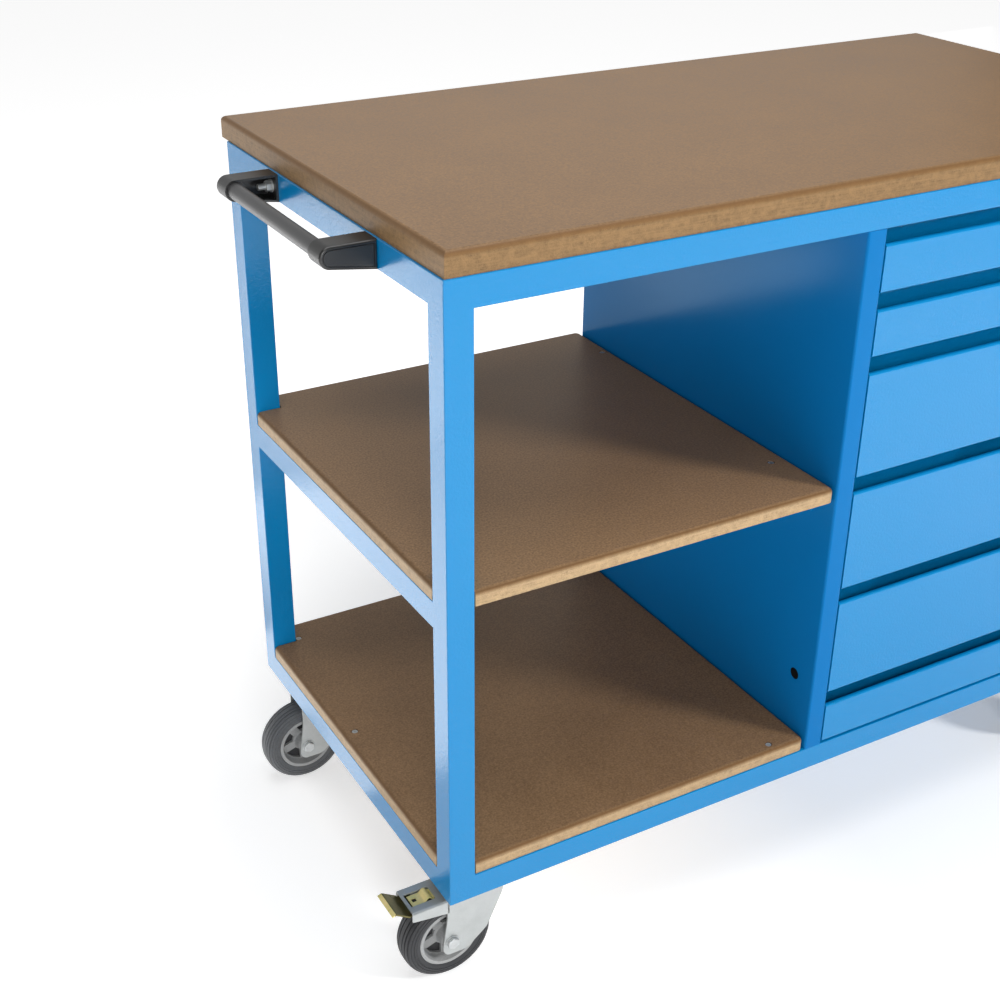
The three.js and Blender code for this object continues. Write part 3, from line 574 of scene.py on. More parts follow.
class TABLE_OT_finishes(bpy.types.Operator):
    """Makes the shared node groups and all finishes"""

    bl_idname = "table.finishes"
    bl_label = "Finishes"

    def execute(self, context):
        looks = context.scene.table_finishes
        sizes = context.scene.table_sizes
        make_grain_group()
        make_streak_group()
        make_paint("blue_paint", looks.paint, looks.paint_deep,
                   gloss=0.45, sheen=(0.85, 0.95, 1, 1), peel=0.6)
        # Darker copy of the blue paint for the side panels: painted shade
        make_paint("panel_paint", looks.panel, shaded(looks.panel, 0.93),
                   gloss=0.12, sheen=(0.5, 0.9, 1, 1), peel=0.2)
        # Each board's face brightness is painted light and shade: the mid shelf lighter, the base shelf
        # darker than the worktop
        for name, node, edge, painted_light_share, sawn in (
            ("worktop_board", "worktop", sizes.worktop_edge, 0.94, looks.worktop_edge),
            ("mid_board", "mid_shelf", sizes.shelf_edge, 1.14, looks.board_edge),
            ("base_board", "base_shelf", sizes.shelf_edge, 0.86, looks.board_edge),
        ):
            make_board(name, looks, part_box(node)[1].z, edge, painted_light_share, sawn)
        for name, light, dark, rough, cloud, metallic in (
            ("zinc_plate", looks.zinc, shaded(looks.zinc, 0.85), 0.38, 40, 0.55),
            ("zinc_bolt", looks.bolt, shaded(looks.bolt, 0.8), 0.42, 90, 0.7),
            ("yellow_zinc", looks.yellow_zinc, looks.green_zinc, 0.30, 60, 0.4),
            # Darker copy of the yellow zinc for the pedal treads: painted shade and reflection
            ("olive_zinc", looks.olive_zinc, shaded(looks.olive_zinc, 0.5), 0.30, 60, 0.8),
            ("runner_steel", looks.steel, shaded(looks.steel, 0.85), 0.34, 25, 1),
        ):
            make_metal(name, light, dark, rough, cloud, metallic)
        for name, tint, gloss, rough, speck, strength in (
            ("bracket_plastic", looks.plastic, 0.70, 0.36, 1500, 0.12),
            ("grip_coat", looks.grip, 0.70, 0.38, 800, 0.3),
            ("rim_plastic", looks.rim, 0.45, 0.45, 700, 0.06),
            # The rims' dark discs are painted shade; the brake shoes share this finish
            ("rim_core", looks.core, 0.45, 0.6, 700, 0.06),
            # Near-black, matte and dull: painted shade for the panel holes
            ("hole_black", shaded(looks.plastic, 0.2), 0.1, 0.9, 700, 0.06),
            ("tyre_rubber", looks.rubber, 0.45, 0.5, 800, 0.15),
            # Lighter rubber of the rear tyres: dust and painted sheen
            ("dusty_rubber", looks.dusty_rubber, 0.45, 0.6, 300, 0.15),
        ):
            make_moulded(name, tint, gloss, rough, speck, strength)
        return {"FINISHED"}


# Pieces


class TABLE_OT_welded_frame(bpy.types.Operator):
    """Welds the tubes into one frame with rounded edges and filled inner corners"""

    bl_idname = "table.welded_frame"
    bl_label = "Welded frame"

    def execute(self, context):
        starts = ("post_", "base_rail_", "top_rail_", "mid_rail_")
        tubes = [node for node in sorted(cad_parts) if node.startswith(starts)]
        blocks = [block(node + "_block", *self.reach(node)) for node in tubes]
        welded = combine(blocks[0], blocks[1:], "UNION")
        select(welded, "VERT", lambda vertex: True)
        bpy.ops.mesh.dissolve_limited(angle_limit=math.radians(1))
        leave_edit()
        close_up(welded)
        bevel_all(welded, context.scene.table_sizes.weld_radius, 3)
        dress(settle(welded, "welded_frame"), "blue_paint", "table", tubes)
        return {"FINISHED"}

    def reach(self, node):
        """A rail's box runs into the posts at both ends, and a post's box is its own."""
        low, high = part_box(node)
        size = high - low
        if node.startswith("post_"):
            return low, high
        axis = X if size.x > size.y else Y
        return low - axis * size.z / 2, high + axis * size.z / 2


class TABLE_OT_worktop(bpy.types.Operator):
    """Models the worktop with its rounded upper edges"""

    bl_idname = "table.worktop"
    bl_label = "Worktop"

    def execute(self, context):
        sizes = context.scene.table_sizes
        low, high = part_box("worktop")
        piece = block("worktop_board", low - sizes.board_reach * X, high + sizes.board_reach * X)
        round_edges(piece, sizes.worktop_edge, 6, lambda edge: lies_at(edge, 2, high.z))
        dress(piece, "worktop_board", "table", ["worktop"], SHEET_ANGLE)
        return {"FINISHED"}


class TABLE_OT_shelves(bpy.types.Operator):
    """Models the two shelves, notched round the posts, and their screws"""

    bl_idname = "table.shelves"
    bl_label = "Shelves"

    def execute(self, context):
        sizes = context.scene.table_sizes
        for node, finish in (("mid_shelf", "mid_board"), ("base_shelf", "base_board")):
            low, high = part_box(node)
            piece = block(node + "_board", low - sizes.board_reach * X, high)
            round_edges(piece, sizes.shelf_corner, 6, lambda edge: lies_at(edge, 0, high.x)
                        and abs(edge.verts[0].co.z - edge.verts[1].co.z) > MM)
            round_edges(piece, sizes.shelf_edge, 5, lambda edge: lies_at(edge, 2, high.z))
            combine(piece, self.notches(low, high))
            holes = self.screw_places(node, high.z)
            bore, depth, sink = 0.62 * sizes.screw_head, 2.5 * MM * Z, 0.8 * MM * Z
            combine(piece, [
                rod("hole", bore, place - depth, place + MM * Z, SCREW_SIDES) for place in holes])
            dress(piece, finish, "table", [node], SHEET_ANGLE)
            for i, place in enumerate(holes):
                self.screw(f"{node}_screw_{i + 1}", place - sink, sizes.screw_head)
        return {"FINISHED"}

    def notches(self, low, high):
        """Cutters that leave the posts free, out to the board's edges."""
        gap = Vector((2, 2, 0)) * MM
        beyond = 20 * MM
        cutters = []
        for post, outward in (("post_front_left", -1), ("post_rear_left", 1)):
            post_low, post_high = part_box(post)
            start = Vector((post_low.x - beyond, post_low.y, low.z - MM)) - gap
            end = Vector((post_high.x, post_high.y, high.z + MM)) + gap
            if outward > 0:
                end.y += beyond
            else:
                start.y -= beyond
            cutters.append(block("notch", start, end))
        return cutters

    def screw_places(self, node, top):
        """The screws into the rails and the ledge, measured from the frame's front left corner."""
        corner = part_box("post_front_left")[0]
        return [Vector((corner.x + x * MM, corner.y + y * MM, top)) for x, y in SCREWS[node]]

    def screw(self, name, top, diameter):
        """A countersunk screw with a cross recess."""
        head = rod(name, diameter / 2, top - 1.2 * MM * Z, top, SCREW_SIDES)
        long, short = 0.3 * diameter, 0.07 * diameter
        slots = [
            block("slot", top - Vector((long, short, MM)), top + Vector((long, short, MM))),
            block("slot", top - Vector((short, long, MM)), top + Vector((short, long, MM))),
        ]
        combine(head, slots)
        dress(head, "zinc_plate", "table")


class TABLE_OT_cabinet(bpy.types.Operator):
    """Folds the cabinet's side panels and the ledge, and finishes its plates and runner racks"""

    bl_idname = "table.cabinet"
    bl_label = "Cabinet"

    def execute(self, context):
        sizes = context.scene.table_sizes
        half = sizes.sheet / 2
        for side, inward in (("left", 1), ("right", -1)):
            node = f"cabinet_{side}_panel"
            low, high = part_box(node)
            flange = high.x - low.x
            wall = (low.x if inward > 0 else high.x) + inward * half
            lip = wall + inward * (flange - sizes.sheet)
            front, rear = low.y + half, high.y - half
            turn = front + FLANGE_LIP - half
            line = [(lip, turn), (lip, front), (wall, front), (wall, rear), (lip, rear)]
            points = [Vector((x, y, low.z)) for x, y in line]
            panel = folded_sheet(node + "_sheet", points, (high.z - low.z) * Z, sizes.sheet, sizes.bend)
            hole = Vector((wall, low.y + HOLE_SETBACK, low.z + HOLE_HEIGHT))
            past = 5 * MM * X
            combine(panel, [rod("hole", HOLE_RADIUS, hole - past, hole + past, MID_SIDES)])
            if side == "right":
                panel = gather(node + "_sheet", [panel, self.foot(wall, half)])
            dress(panel, "panel_paint", "table", [node], SHEET_ANGLE)
            # Near-black disc in the hole, a little proud of the sheet: painted shade for the hole's
            # shadowed inside
            outside, inside = hole - inward * HOLE_SHADE_RISE * X, hole + inward * half * X
            painted_hole_shade = rod(f"hole_plug_{side}", HOLE_RADIUS - HOLE_SHADE_GAP, outside, inside, MID_SIDES)
            dress(bevel_all(painted_hole_shade, 0.1 * MM), "hole_black", "table")
        low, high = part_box("mid_shelf_ledge")
        top, wall = high.z - LEDGE_SHEET / 2, high.x - LEDGE_SHEET / 2
        points = [Vector((x, low.y, z)) for x, z in ((low.x, top), (wall, top), (wall, low.z))]
        ledge = folded_sheet("ledge_angle", points, (high.y - low.y) * Y, LEDGE_SHEET, sizes.bend)
        dress(ledge, "blue_paint", "table", ["mid_shelf_ledge"], SHEET_ANGLE)
        for node in ("cabinet_back", "cabinet_bottom"):
            paint_node(node, "blue_paint")
        for corner in CORNERS:
            paint_node(f"corner_plate_{corner}", "blue_paint")
        for side in ("left", "right"):
            paint_node(f"runner_rack_{side}", "runner_steel")
        return {"FINISHED"}

    def foot(self, wall, half):
        """The strip that closes the seam between the right panel and the rounded rail beside it."""
        low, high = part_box("base_rail_right")
        overlap = 5 * MM
        start = (wall - half, low.y, high.z - overlap)
        end = (wall + half, high.y, high.z + MM)
        return block("foot", start, end)


class TABLE_OT_drawers(bpy.types.Operator):
    """Folds the drawer fronts with their full-width grips, and the trays behind them"""

    bl_idname = "table.drawers"
    bl_label = "Drawers"

    def execute(self, context):
        for number in range(DRAWERS):
            self.drawer(f"drawer_{number + 1}", context.scene.table_sizes)
        return {"FINISHED"}

    def drawer(self, node, sizes):
        low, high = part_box(node)
        sheet = sizes.sheet
        half = sheet / 2
        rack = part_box("runner_rack_left")[1].x
        opening_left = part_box("cabinet_left_panel")[1].x + MM
        opening_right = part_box("cabinet_right_panel")[0].x - MM
        rim = high.z - GRIP_DROP
        grip = low.y + GRIP_DEPTH
        lip = low.y + GRIP_LIP - half
        line = [
            (grip, low.z + half), (low.y + half, low.z + half), (low.y + half, rim - half),
            (lip, rim - half), (lip, rim - GRIP_LIP),
        ]
        points = [Vector((opening_left, y, z)) for y, z in line]
        front = folded_sheet("front", points, (opening_right - opening_left) * X, sheet, sizes.bend)
        caps = []
        for x in (opening_left, opening_right - sheet):
            start = (x, low.y + sizes.bend, low.z + sizes.bend)
            caps.append(block("cap", start, (x + sheet, grip, rim - half)))
        wall = block("wall", (opening_left, grip, low.z), (opening_right, grip + sheet, high.z))
        runner_inside = rack + RUNNER_DEPTH
        tray_right = low.x + high.x - runner_inside
        tray = block("tray", (runner_inside, grip, low.z), (tray_right, high.y, high.z))
        select(tray, "FACE", lambda face: face.normal.z > 0.5)
        bpy.ops.mesh.delete(type="FACE")
        leave_edit()
        modify(tray, "SOLIDIFY", thickness=sheet, offset=-1, use_even_offset=True)
        bars = []
        for x0, x1 in ((low.x, runner_inside + half), (tray_right - half, high.x)):
            bottom, top = (low.z + height for height in RUNNER_SPAN)
            bar = block("bar", (x0, low.y + RUNNER_SETBACK, bottom), (x1, high.y, top))
            bars.append(bevel_all(bar, 0.8 * MM))
        drawer = gather(node + "_folded", [front, *caps, wall, tray, *bars])
        dress(drawer, "blue_paint", node, [node], SHEET_ANGLE)


class TABLE_OT_push_handle(bpy.types.Operator):
    """Models the handle's brackets with their covers, its tube and its bolts"""

    bl_idname = "table.push_handle"
    bl_label = "Push handle"

    def execute(self, context):
        sizes = context.scene.table_sizes
        low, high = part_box("handle_tube")
        axis = (low + high) / 2
        radius = (high.z - low.z) / 2
        tube = self.round_bar("handle_grip", radius, axis, low.y, high.y)
        combine(tube, [self.round_bar("bore", radius - 2 * MM, axis, low.y - MM, high.y + MM)])
        dress(tube, "grip_coat", "table", ["handle_tube"])
        for side, inward in (("front", 1), ("rear", -1)):
            self.bracket(side, inward, axis, radius, sizes)
        return {"FINISHED"}

    def round_bar(self, name, radius, axis, start, end):
        """A round bar on the handle's axis."""
        return rod(name, radius, (axis.x, start, axis.z), (axis.x, end, axis.z), FINE_SIDES)

    def wedge(self, name, low, high, axis, margin, span):
        """The bracket's outline from its root to its round tip, drawn in by a margin, as deep as span."""
        start, end = span
        root, top, bottom = high.x - margin, high.z - margin, low.z + margin
        tip = top - axis.z
        drop = Vector((root - axis.x, bottom - axis.z))
        last = math.atan2(drop.y, drop.x) - math.acos(tip / drop.length) + FULL_TURN
        line = [(root, bottom), (root, top)]
        for i in range(TIP_STEPS + 1):
            angle = math.pi / 2 + (last - math.pi / 2) * i / TIP_STEPS
            line.append((axis.x + tip * math.cos(angle), axis.z + tip * math.sin(angle)))
        return plate(name, [Vector((x, start, z)) for x, z in line], (end - start) * Y)

    def bracket(self, side, inward, axis, radius, sizes):
        node = f"handle_bracket_{side}"
        low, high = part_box(node)
        outer = low.y if inward > 0 else high.y
        piece = self.wedge(f"bracket_{side}", low, high, axis, 0, (low.y, high.y))
        round_edges(piece, sizes.bracket_round, 4, lambda edge: lies_at(edge, 1, outer))
        span = sorted((outer + inward * BRACKET_WALL, outer + inward * 40 * MM))
        cavity = self.wedge("cavity", low, high, axis, BRACKET_WALL, span)
        boss = self.round_bar("boss", high.z - axis.z, axis, low.y - MM, high.y + 10 * MM)
        combine(cavity, [boss])
        start, end = (outer + inward * depth for depth in SOCKET_SPAN)
        socket = self.round_bar("socket", radius + SOCKET_GAP, axis, start, end)
        seat, lid = self.cover(low, high, axis, outer, inward)
        combine(piece, [cavity, socket, seat])
        bracket = gather(f"bracket_{side}", [piece, lid])
        dress(bracket, "bracket_plastic", "table", [node], SHEET_ANGLE)
        middle = (low + high) / 2
        self.bolt(f"handle_bolt_{side}", Vector((high.x - BRACKET_WALL, middle.y, middle.z)))

    def cover(self, low, high, axis, outer, inward):
        """The lid that closes the bracket's outer face, and the seat it is pressed into."""
        groove, depth = 0.9 * MM, 1.4 * MM
        margin = 3.6 * MM
        floor = outer + inward * depth
        seat = self.wedge("seat", low, high, axis, margin, sorted((outer - inward * MM, floor)))
        lid = self.wedge("lid", low, high, axis, margin + groove, sorted((outer, floor)))
        return seat, bevel_all(lid, 0.4 * MM)

    def bolt(self, name, seat):
        """Washer, nut and the end of the bolt inside the bracket."""
        face = seat - 1.6 * MM * X
        washer = rod(name, 8 * MM, seat, face, SMALL_SIDES)
        nut = rod("nut", 7.5 * MM, face, seat - 8 * MM * X, HEXAGON)
        bevel_all(nut, 0.8 * MM)
        shank = rod("shank", 4 * MM, seat, seat - 18 * MM * X, SCREW_SIDES)
        bevel_all(shank, 0.7 * MM)
        dress(gather(name, [washer, nut, shank]), "zinc_plate", "table")


# Castors, modelled at the front left corner and copied to the others


def swivel_centre(corner):
    """The point on a castor's swivel axis at the underside of the frame."""
    low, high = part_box(f"castor_plate_{corner}")
    return Vector(((low.x + high.x) / 2, (low.y + high.y) / 2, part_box("base_rail_front")[0].z))


def spread(piece, name, corners, finish, body, node):
    """Copies a castor piece from the front left corner to each corner and dresses it there."""
    home = swivel_centre("front_left")
    for corner in corners:
        copy = copy_to(piece, f"{name}_{corner}", swivel_centre(corner) - home)
        nodes = [node.format(corner)] if node else []
        dress(copy, finish, body.format(corner), nodes)
    bpy.data.meshes.remove(piece.data)


def at(x, y, z):
    """A point of the front left castor, in millimetres from its swivel centre."""
    return swivel_centre("front_left") + Vector((x, y, z)) * MM


def hub():
    low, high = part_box("castor_tyre_front_left")
    return (low + high) / 2


def in_metres(profile, side=1):
    """Radius and width points of a wheel's half section, from millimetres, on either side."""
    return [(radius * MM, side * width * MM) for radius, width in profile]


class TABLE_OT_castor_plates(bpy.types.Operator):
    """Models the castors' top plates with their ball races, and the bolts that hold them"""

    bl_idname = "table.castor_plates"
    bl_label = "Castor plates"

    def execute(self, context):
        half_x, half_y, under = 52.5, 42.5, -10
        signs = ((-1, -1), (1, -1), (1, 1), (-1, 1))
        corners = [at(half_x * x, half_y * y, under) for x, y in signs]
        flat = plate("flat", corners, 4 * MM * Z, 8 * MM)
        bevel_all(flat, 0.6 * MM)
        race = rod("race", 31 * MM, at(0, 0, -15.5), at(0, 0, -9), FINE_SIDES)
        bevel_all(race, 1.5 * MM, 3)
        spread(gather("castor_top", [flat, race]), "castor_top", CORNERS, "zinc_plate",
               "table", "castor_plate_{}")
        bolts = []
        for x in (-40, 40):
            for y in (-32, 32):
                washer = rod("washer", 10 * MM, at(x, y, under), at(x, y, -11.8), SMALL_SIDES)
                head = rod("head", 9 * MM, at(x, y, -11.8), at(x, y, -17), HEXAGON)
                bolts += [washer, bevel_all(head, 0.8 * MM)]
        spread(gather("castor_bolts", bolts), "castor_bolts", CORNERS, "zinc_plate", "table", "")
        return {"FINISHED"}


class TABLE_OT_castor_forks(bpy.types.Operator):
    """Presses the castor forks, with a brake housing on the front two"""

    bl_idname = "table.castor_forks"
    bl_label = "Castor forks"

    def execute(self, context):
        bend = context.scene.table_sizes.fork_bend
        plain = gather("plain_fork", [self.legs(bend), *self.swivel_head()])
        spread(plain, "fork", PLAIN, "zinc_plate", "swivel_{}", "castor_fork_{}")
        braked = gather("braked_fork", [self.legs(bend), *self.swivel_head(), self.housing()])
        spread(braked, "fork", BRAKED, "zinc_plate", "swivel_{}", "castor_fork_{}")
        return {"FINISHED"}

    def legs(self, bend):
        """A channel bent over the wheel and cut to the outline of the legs."""
        section = [at(40, -23.5, -126), at(40, -23.5, -23.5), at(40, 23.5, -23.5), at(40, 23.5, -126)]
        channel = folded_sheet("legs", section, -95 * MM * X, FORK_SHEET, bend)
        outline = (
            (37, -21), (-44, -21), (-44, -61), (-51.5, -113),
            (-46, -123.5), (-16, -123.5), (13, -99.5), (37, -46),
        )
        tool = plate("outline", [at(x, -30, z) for x, z in outline], 60 * MM * Y, 5 * MM)
        combine(channel, [tool], "INTERSECT")
        middle, past = hub(), 40 * MM * Y
        combine(channel, [rod("hole", AXLE_BORE, middle - past, middle + past, SMALL_SIDES)])
        return bevel_all(channel, 0.4 * MM)

    def swivel_head(self):
        dish = rod("dish", 28 * MM, at(0, 0, -23), at(0, 0, -16), FINE_SIDES)
        bevel_all(dish, 2 * MM, 3)
        pin = rod("kingpin", 6 * MM, at(0, 0, -17), at(0, 0, -6.5), SMALL_SIDES)
        return [dish, pin]

    def housing(self):
        """A channel that runs back from the fork, with slanted cheeks and a window in its top."""
        section = [at(-41, -24, -53), at(-41, -24, -33), at(-41, 24, -33), at(-41, 24, -53)]
        channel = folded_sheet("housing", section, -52 * MM * X, HOUSING_SHEET, 2.5 * MM)
        slant = ((-43, -53), (-93, -46), (-100, -46), (-100, -60), (-40, -60))
        combine(channel, [plate("slant", [at(x, -30, z) for x, z in slant], 60 * MM * Y)])
        window = ((-88.5, -12), (-54, -12), (-54, 12), (-88.5, 12))
        tool = plate("window", [at(x, y, -40) for x, y in window], 20 * MM * Z, 1.5 * MM, 3)
        combine(channel, [tool])
        return bevel_all(channel, 0.4 * MM)


class TABLE_OT_castor_wheels(bpy.types.Operator):
    """Turns the tyres and the rims, and fits the axles"""

    bl_idname = "table.castor_wheels"
    bl_label = "Castor wheels"

    def execute(self, context):
        spread(self.tyre(), "tyre", BRAKED, "tyre_rubber", "wheel_{}", "castor_tyre_{}")
        # The rear tyres get the lighter rubber: dust and painted sheen
        spread(self.tyre(), "tyre", PLAIN, "dusty_rubber", "wheel_{}", "castor_tyre_{}")
        spread(self.rim(), "rim", CORNERS, "rim_plastic", "wheel_{}", "castor_rim_{}")
        # Dark discs in the rims' webs: painted shade for their deep pockets
        spread(self.core(), "rim_core", CORNERS, "rim_core", "wheel_{}", "")
        spread(self.axle(), "axle", CORNERS, "zinc_bolt", "swivel_{}", "castor_axle_{}")
        return {"FINISHED"}

    def tyre(self):
        """A ribbed tread with stepped shoulders and plain walls."""
        half = [
            (62.5, 0), (62.5, 3.4), (60.9, 3.8), (60.9, 5.0), (62.4, 5.4), (62.0, 9.0),
            (60.3, 9.4), (60.2, 10.6), (61.5, 11.0), (60.4, 14.0), (58.4, 14.3), (58.2, 15.3),
            (59.0, 15.7), (56.8, 17.4), (55.2, 17.2), (54.6, 18.2), (52.6, 18.7), (52.2, 18.0),
            (51.4, 18.1), (51.0, 18.9), (49.2, 19.0), (48.7, 18.2), (47.9, 18.2), (47.4, 18.7),
            (44.0, 18.0), (42.3, 17.0),
        ]
        profile = in_metres(reversed(half[1:]), -1) + in_metres(half)
        return turned("tyre", profile, hub(), 96)

    def rim(self):
        """A ring and a hub on a web with rounded windows."""
        half = [
            (42.0, 17.0), (40.6, 17.4), (37.4, 17.2), (36.6, 16.4), (35.2, 8.0), (33.6, 5.2), (16.4, 5.0),
            (14.4, 7.0), (13.6, 20.0), (12.8, 21.0), (5.3, 21.0),
        ]
        profile = in_metres(half) + in_metres(reversed(half), -1)
        rim = turned("rim", profile, hub(), 80)
        for number in range(SPOKES):
            combine(rim, [self.window(number)])
        return rim

    def core(self):
        """A dark disc in the middle of the web that closes the spaces between the spokes: painted shade
        for the rim's deep, shadowed pockets.
        """
        middle, past = hub(), 5 * MM * Y
        disc = rod("core", 35 * MM, middle - MM * Y, middle + MM * Y, FINE_SIDES)
        combine(disc, [rod("bore", 15 * MM, middle - past, middle + past)])
        return bevel_all(disc, 0.2 * MM)

    def window(self, number):
        """The space between two spokes."""
        middle = FULL_TURN * (number / SPOKES + 0.25)
        points = []
        for radius, count, sign in ((33, 6, 1), (17.5, 4, -1)):
            reach = math.pi / SPOKES - math.asin(SPOKE_HALF / radius)
            for i in range(count):
                angle = middle + sign * reach * (2 * i / (count - 1) - 1)
                point = Vector((radius * math.cos(angle), -30, radius * math.sin(angle)))
                points.append(hub() + point * MM)
        return plate("window", points, 60 * MM * Y)

    def axle(self):
        """Axle bolt with a washer at each side, its hexagon head at the front and its nut at the rear."""
        middle = hub()
        start, end = middle - 29 * MM * Y, middle + 35.5 * MM * Y
        pieces = [rod("shaft", AXLE_RADIUS, start, end, SMALL_SIDES)]
        bevel_all(pieces[0], 0.8 * MM)
        for side in (-1, 1):
            inner, outer = middle + side * 25 * MM * Y, middle + side * 26.4 * MM * Y
            washer = rod("washer", 9.6 * MM, inner, outer, MID_SIDES)
            head = rod("head", 8.8 * MM, outer, middle + side * 31 * MM * Y, HEXAGON)
            pieces += [bevel_all(washer, 0.4 * MM), bevel_all(head, 1.1 * MM, 3)]
        return gather("axle", pieces)


class TABLE_OT_brakes(bpy.types.Operator):
    """Folds the brake pedals and their leaf springs"""

    bl_idname = "table.brakes"
    bl_label = "Brakes"

    def execute(self, context):
        # The treads take the darker copy of the yellow zinc: painted shade and reflection
        spread(self.pedal(), "pedal", BRAKED, "olive_zinc", "pedal_{}", "brake_pedal_{}")
        spread(self.lip(), "pedal_lip", BRAKED, "yellow_zinc", "pedal_{}", "")
        spread(self.spring(), "leaf_spring", BRAKED, "yellow_zinc", "swivel_{}", "brake_spring_{}")
        shoe = block("brake_shoe", at(-79.5, -12, -39.2), at(-58, 12, -36.4))
        # The brake shoe takes the same near-black finish as the rims' painted-shade discs
        spread(bevel_all(shoe, 0.8 * MM), "brake_shoe", BRAKED, "rim_core", "swivel_{}", "")
        return {"FINISHED"}

    def pedal(self):
        line = [(-76, -42), (-79, -42), (-95, -38), (-114.5, -25.5), (-116, -26.1)]
        points = [at(x, -22, z) for x, z in line[2:]]
        tread = folded_sheet("tread", points, 44 * MM * Y, PEDAL_SHEET, 1.6 * MM)
        points = [at(x, -20, z) for x, z in line[:3]]
        tongue = folded_sheet("tongue", points, 40 * MM * Y, PEDAL_SHEET, 1.5 * MM)
        pin = rod("pin", 3 * MM, at(-79, -22.8, -43), at(-79, 22.8, -43), SCREW_SIDES)
        return gather("pedal", [tread, tongue, pin])

    def lip(self):
        """The tread's rolled front edge, in the plain yellow zinc; the tread behind it has the darker copy
        with painted shade.
        """
        section = [(-114.6, -24.4), (-120.1, -26.6), (-119.4, -28.5), (-115.4, -26.9)]
        lip = plate("lip", [at(x, -22, z) for x, z in section], 44 * MM * Y)
        return bevel_all(lip, 0.4 * MM)

    def spring(self):
        """A leaf with a hump that stands up through the housing's window, and a hole in its tail."""
        seat, hump, end, flat, steps = -44.3, -55.3, -85.3, -34.9, 16
        line = [(seat, flat)]
        for i in range(steps + 1):
            share = i / steps
            line.append((hump - 14 * share, flat + 2.5 * (1 - math.cos(FULL_TURN * share))))
        line.append((end, flat))
        points = [at(x, -10, z) for x, z in line]
        leaf = folded_sheet("leaf_spring", points, 20 * MM * Y, SPRING_SHEET, 0.2 * MM, 1)
        combine(leaf, [block("hole", at(-82, -3, -45), at(-76, 3, -30))])
        return leaf


# Stage


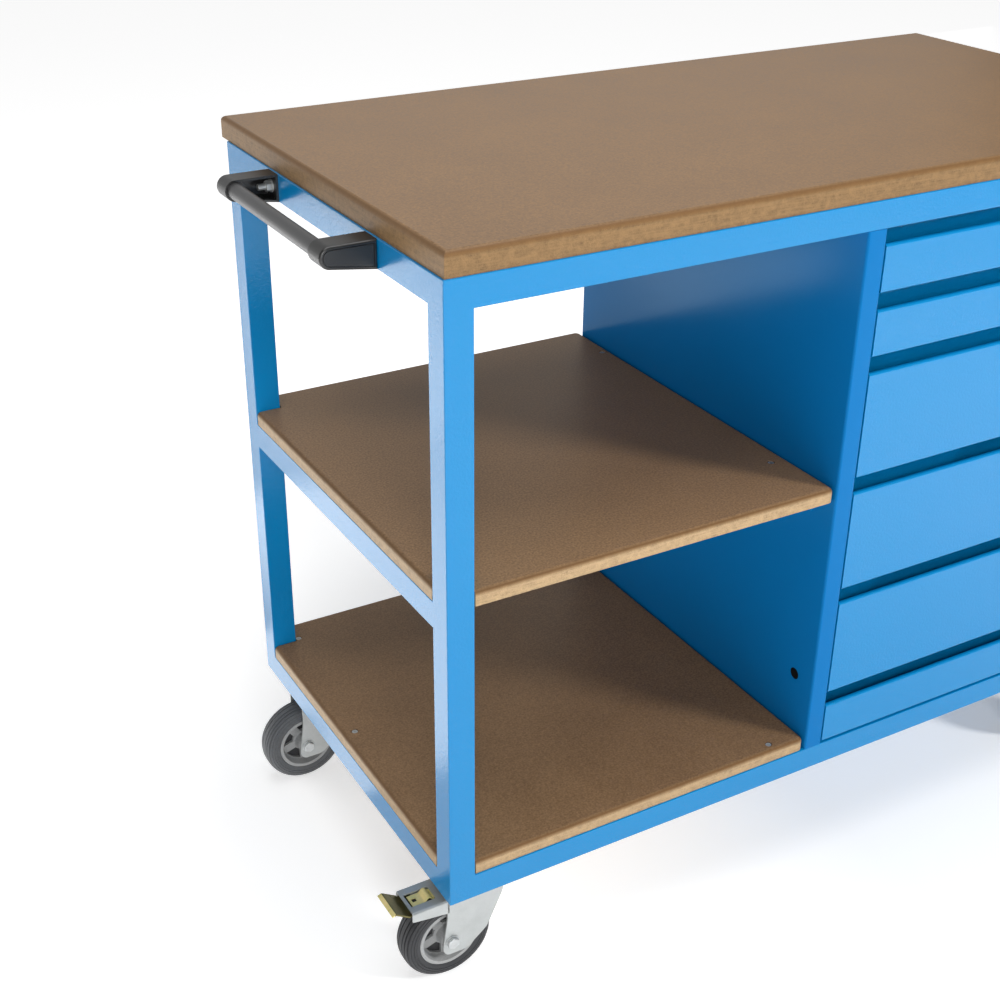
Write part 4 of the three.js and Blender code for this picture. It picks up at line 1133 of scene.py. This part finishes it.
class TABLE_OT_stage(bpy.types.Operator):
    """Lays the pale floor and sets the soft lights and the camera"""

    bl_idname = "table.stage"
    bl_label = "Stage"

    def execute(self, context):
        stage = context.scene.table_stage
        self.floor(stage)
        self.room(context.scene, stage)
        lights = {}
        for name, place, target, size in SOFTBOXES:
            lights[name] = self.softbox(name, place, target, size, getattr(stage, name))
        lights["key"].visible_glossy = False
        lights["side"].visible_glossy = False
        lights["side"].visible_camera = False
        place, width, height = BACKDROP
        front = Vector(place) - Y
        mirrored = [self.softbox("backdrop", place, front, width, stage.backdrop, height)]
        for name, (x, y), (width, depth), turn, radiance in CARDS:
            power = stage.card * math.pi * width * depth * radiance
            card = self.softbox(name, (x, y, 4 * MM), (x, y, 1), width, power, depth)
            card.rotation_euler.z += math.radians(turn)
            mirrored.append(card)
        for light in mirrored:
            light.visible_diffuse = False
            light.visible_camera = False
        bpy.ops.object.camera_add(location=stage.camera_place, rotation=stage.camera_turn)
        camera = context.object
        camera.name = "photo_camera"
        camera.data.sensor_width = 36
        camera.data.lens = stage.lens
        context.scene.camera = camera
        context.scene.view_settings.view_transform = "Standard"
        return {"FINISHED"}

    def room(self, scene, stage):
        """A room that is white to the camera and dimmer to everything else."""
        scene.world = bpy.data.worlds.new("white_room")
        scene.world.use_nodes = True
        tree = scene.world.node_tree
        background = tree.nodes["Background"].inputs
        background["Color"].default_value = (1, 1, 1, 1)
        seen = add_node(tree, "ShaderNodeLightPath").outputs["Is Camera Ray"]
        tree.links.new(ranged(tree, seen, 0, 1, stage.sky, 1), background["Strength"])

    def floor(self, stage):
        """A pale floor that glows a little round the table and more further off."""
        clear_selection()
        bpy.ops.mesh.primitive_plane_add(size=FLOOR_SIDE)
        floor = settle(bpy.context.object, "studio_floor")
        tree, shader = new_finish("floor_paper", Specular_IOR_Level=0.2, Emission_Strength=1.0)
        grain = use_group(tree, "mottle", Cloud_scale=2.0, Speck_scale=300.0, Speck_share=0.2)
        base = mixed(tree, grain["Value"], shaded(stage.floor, 0.99), stage.floor)
        roughness = ranged(tree, grain["Value"], 0, 1, 0.6, 0.7)
        set_looks(tree, shader, base, roughness, grain["Height"], 0.02, MM)
        place = add_node(tree, "ShaderNodeTexCoord").outputs["Object"]
        away = add_node(tree, "ShaderNodeVectorMath", {0: place}, operation="LENGTH").outputs["Value"]
        along = add_node(tree, "ShaderNodeSeparateXYZ", {"Vector": place}).outputs
        far = ranged(tree, away, *GLOW_FAR)
        to_right = ranged(tree, along["X"], *GLOW_RIGHT)
        sides = mixed(tree, to_right, grey(stage.near_glow), grey(0.5 * stage.near_glow))
        around = mixed(tree, ranged(tree, away, *GLOW_FADE), sides, grey(0))
        glow = mixed(tree, far, around, grey(stage.far_glow))
        tree.links.new(glow, shader.inputs["Emission Color"])
        floor.data.materials.append(bpy.data.materials["floor_paper" + LOOK])

    def softbox(self, name, place, target, size, power, height=0):
        """A round soft light, or a rectangular one where a height is given."""
        clear_selection()
        direction = Vector(target) - Vector(place)
        bpy.ops.object.light_add(
            type="AREA", location=place, rotation=direction.to_track_quat("-Z", "Y").to_euler())
        light = bpy.context.object
        light.name = f"softbox_{name}"
        light.data.shape = "RECTANGLE" if height else "DISK"
        light.data.size = size
        light.data.size_y = height or size
        light.data.energy = power
        return light


OPERATORS = (
    TABLE_OT_finishes, TABLE_OT_welded_frame, TABLE_OT_worktop, TABLE_OT_shelves, TABLE_OT_cabinet,
    TABLE_OT_drawers, TABLE_OT_push_handle, TABLE_OT_castor_plates, TABLE_OT_castor_forks,
    TABLE_OT_castor_wheels, TABLE_OT_brakes, TABLE_OT_stage,
)


class TABLE_PT_panel(bpy.types.Panel):
    """Lists the table's pieces"""

    bl_idname = "TABLE_PT_panel"
    bl_label = "Assembly Table"
    bl_space_type = "VIEW_3D"
    bl_region_type = "UI"
    bl_category = "Assembly Table"

    def draw(self, context):
        for operator in OPERATORS:
            self.layout.operator(operator.bl_idname)
        for group in (context.scene.table_sizes, context.scene.table_finishes, context.scene.table_stage):
            for name in group.__annotations__:
                self.layout.prop(group, name)


GROUPS = {"table_sizes": TableSizes, "table_finishes": TableFinishes, "table_stage": StageSettings}


def register():
    for group in (*GROUPS.values(), *OPERATORS, TABLE_PT_panel):
        bpy.utils.register_class(group)
    for name, group in GROUPS.items():
        setattr(bpy.types.Scene, name, PointerProperty(type=group))


def unregister():
    for name in GROUPS:
        delattr(bpy.types.Scene, name)
    for group in reversed((*GROUPS.values(), *OPERATORS, TABLE_PT_panel)):
        bpy.utils.unregister_class(group)


def main():
    register()
    for operator in OPERATORS:
        group, name = operator.bl_idname.split(".")
        getattr(getattr(bpy.ops, group), name)()


if __name__ == "__main__":
    main()
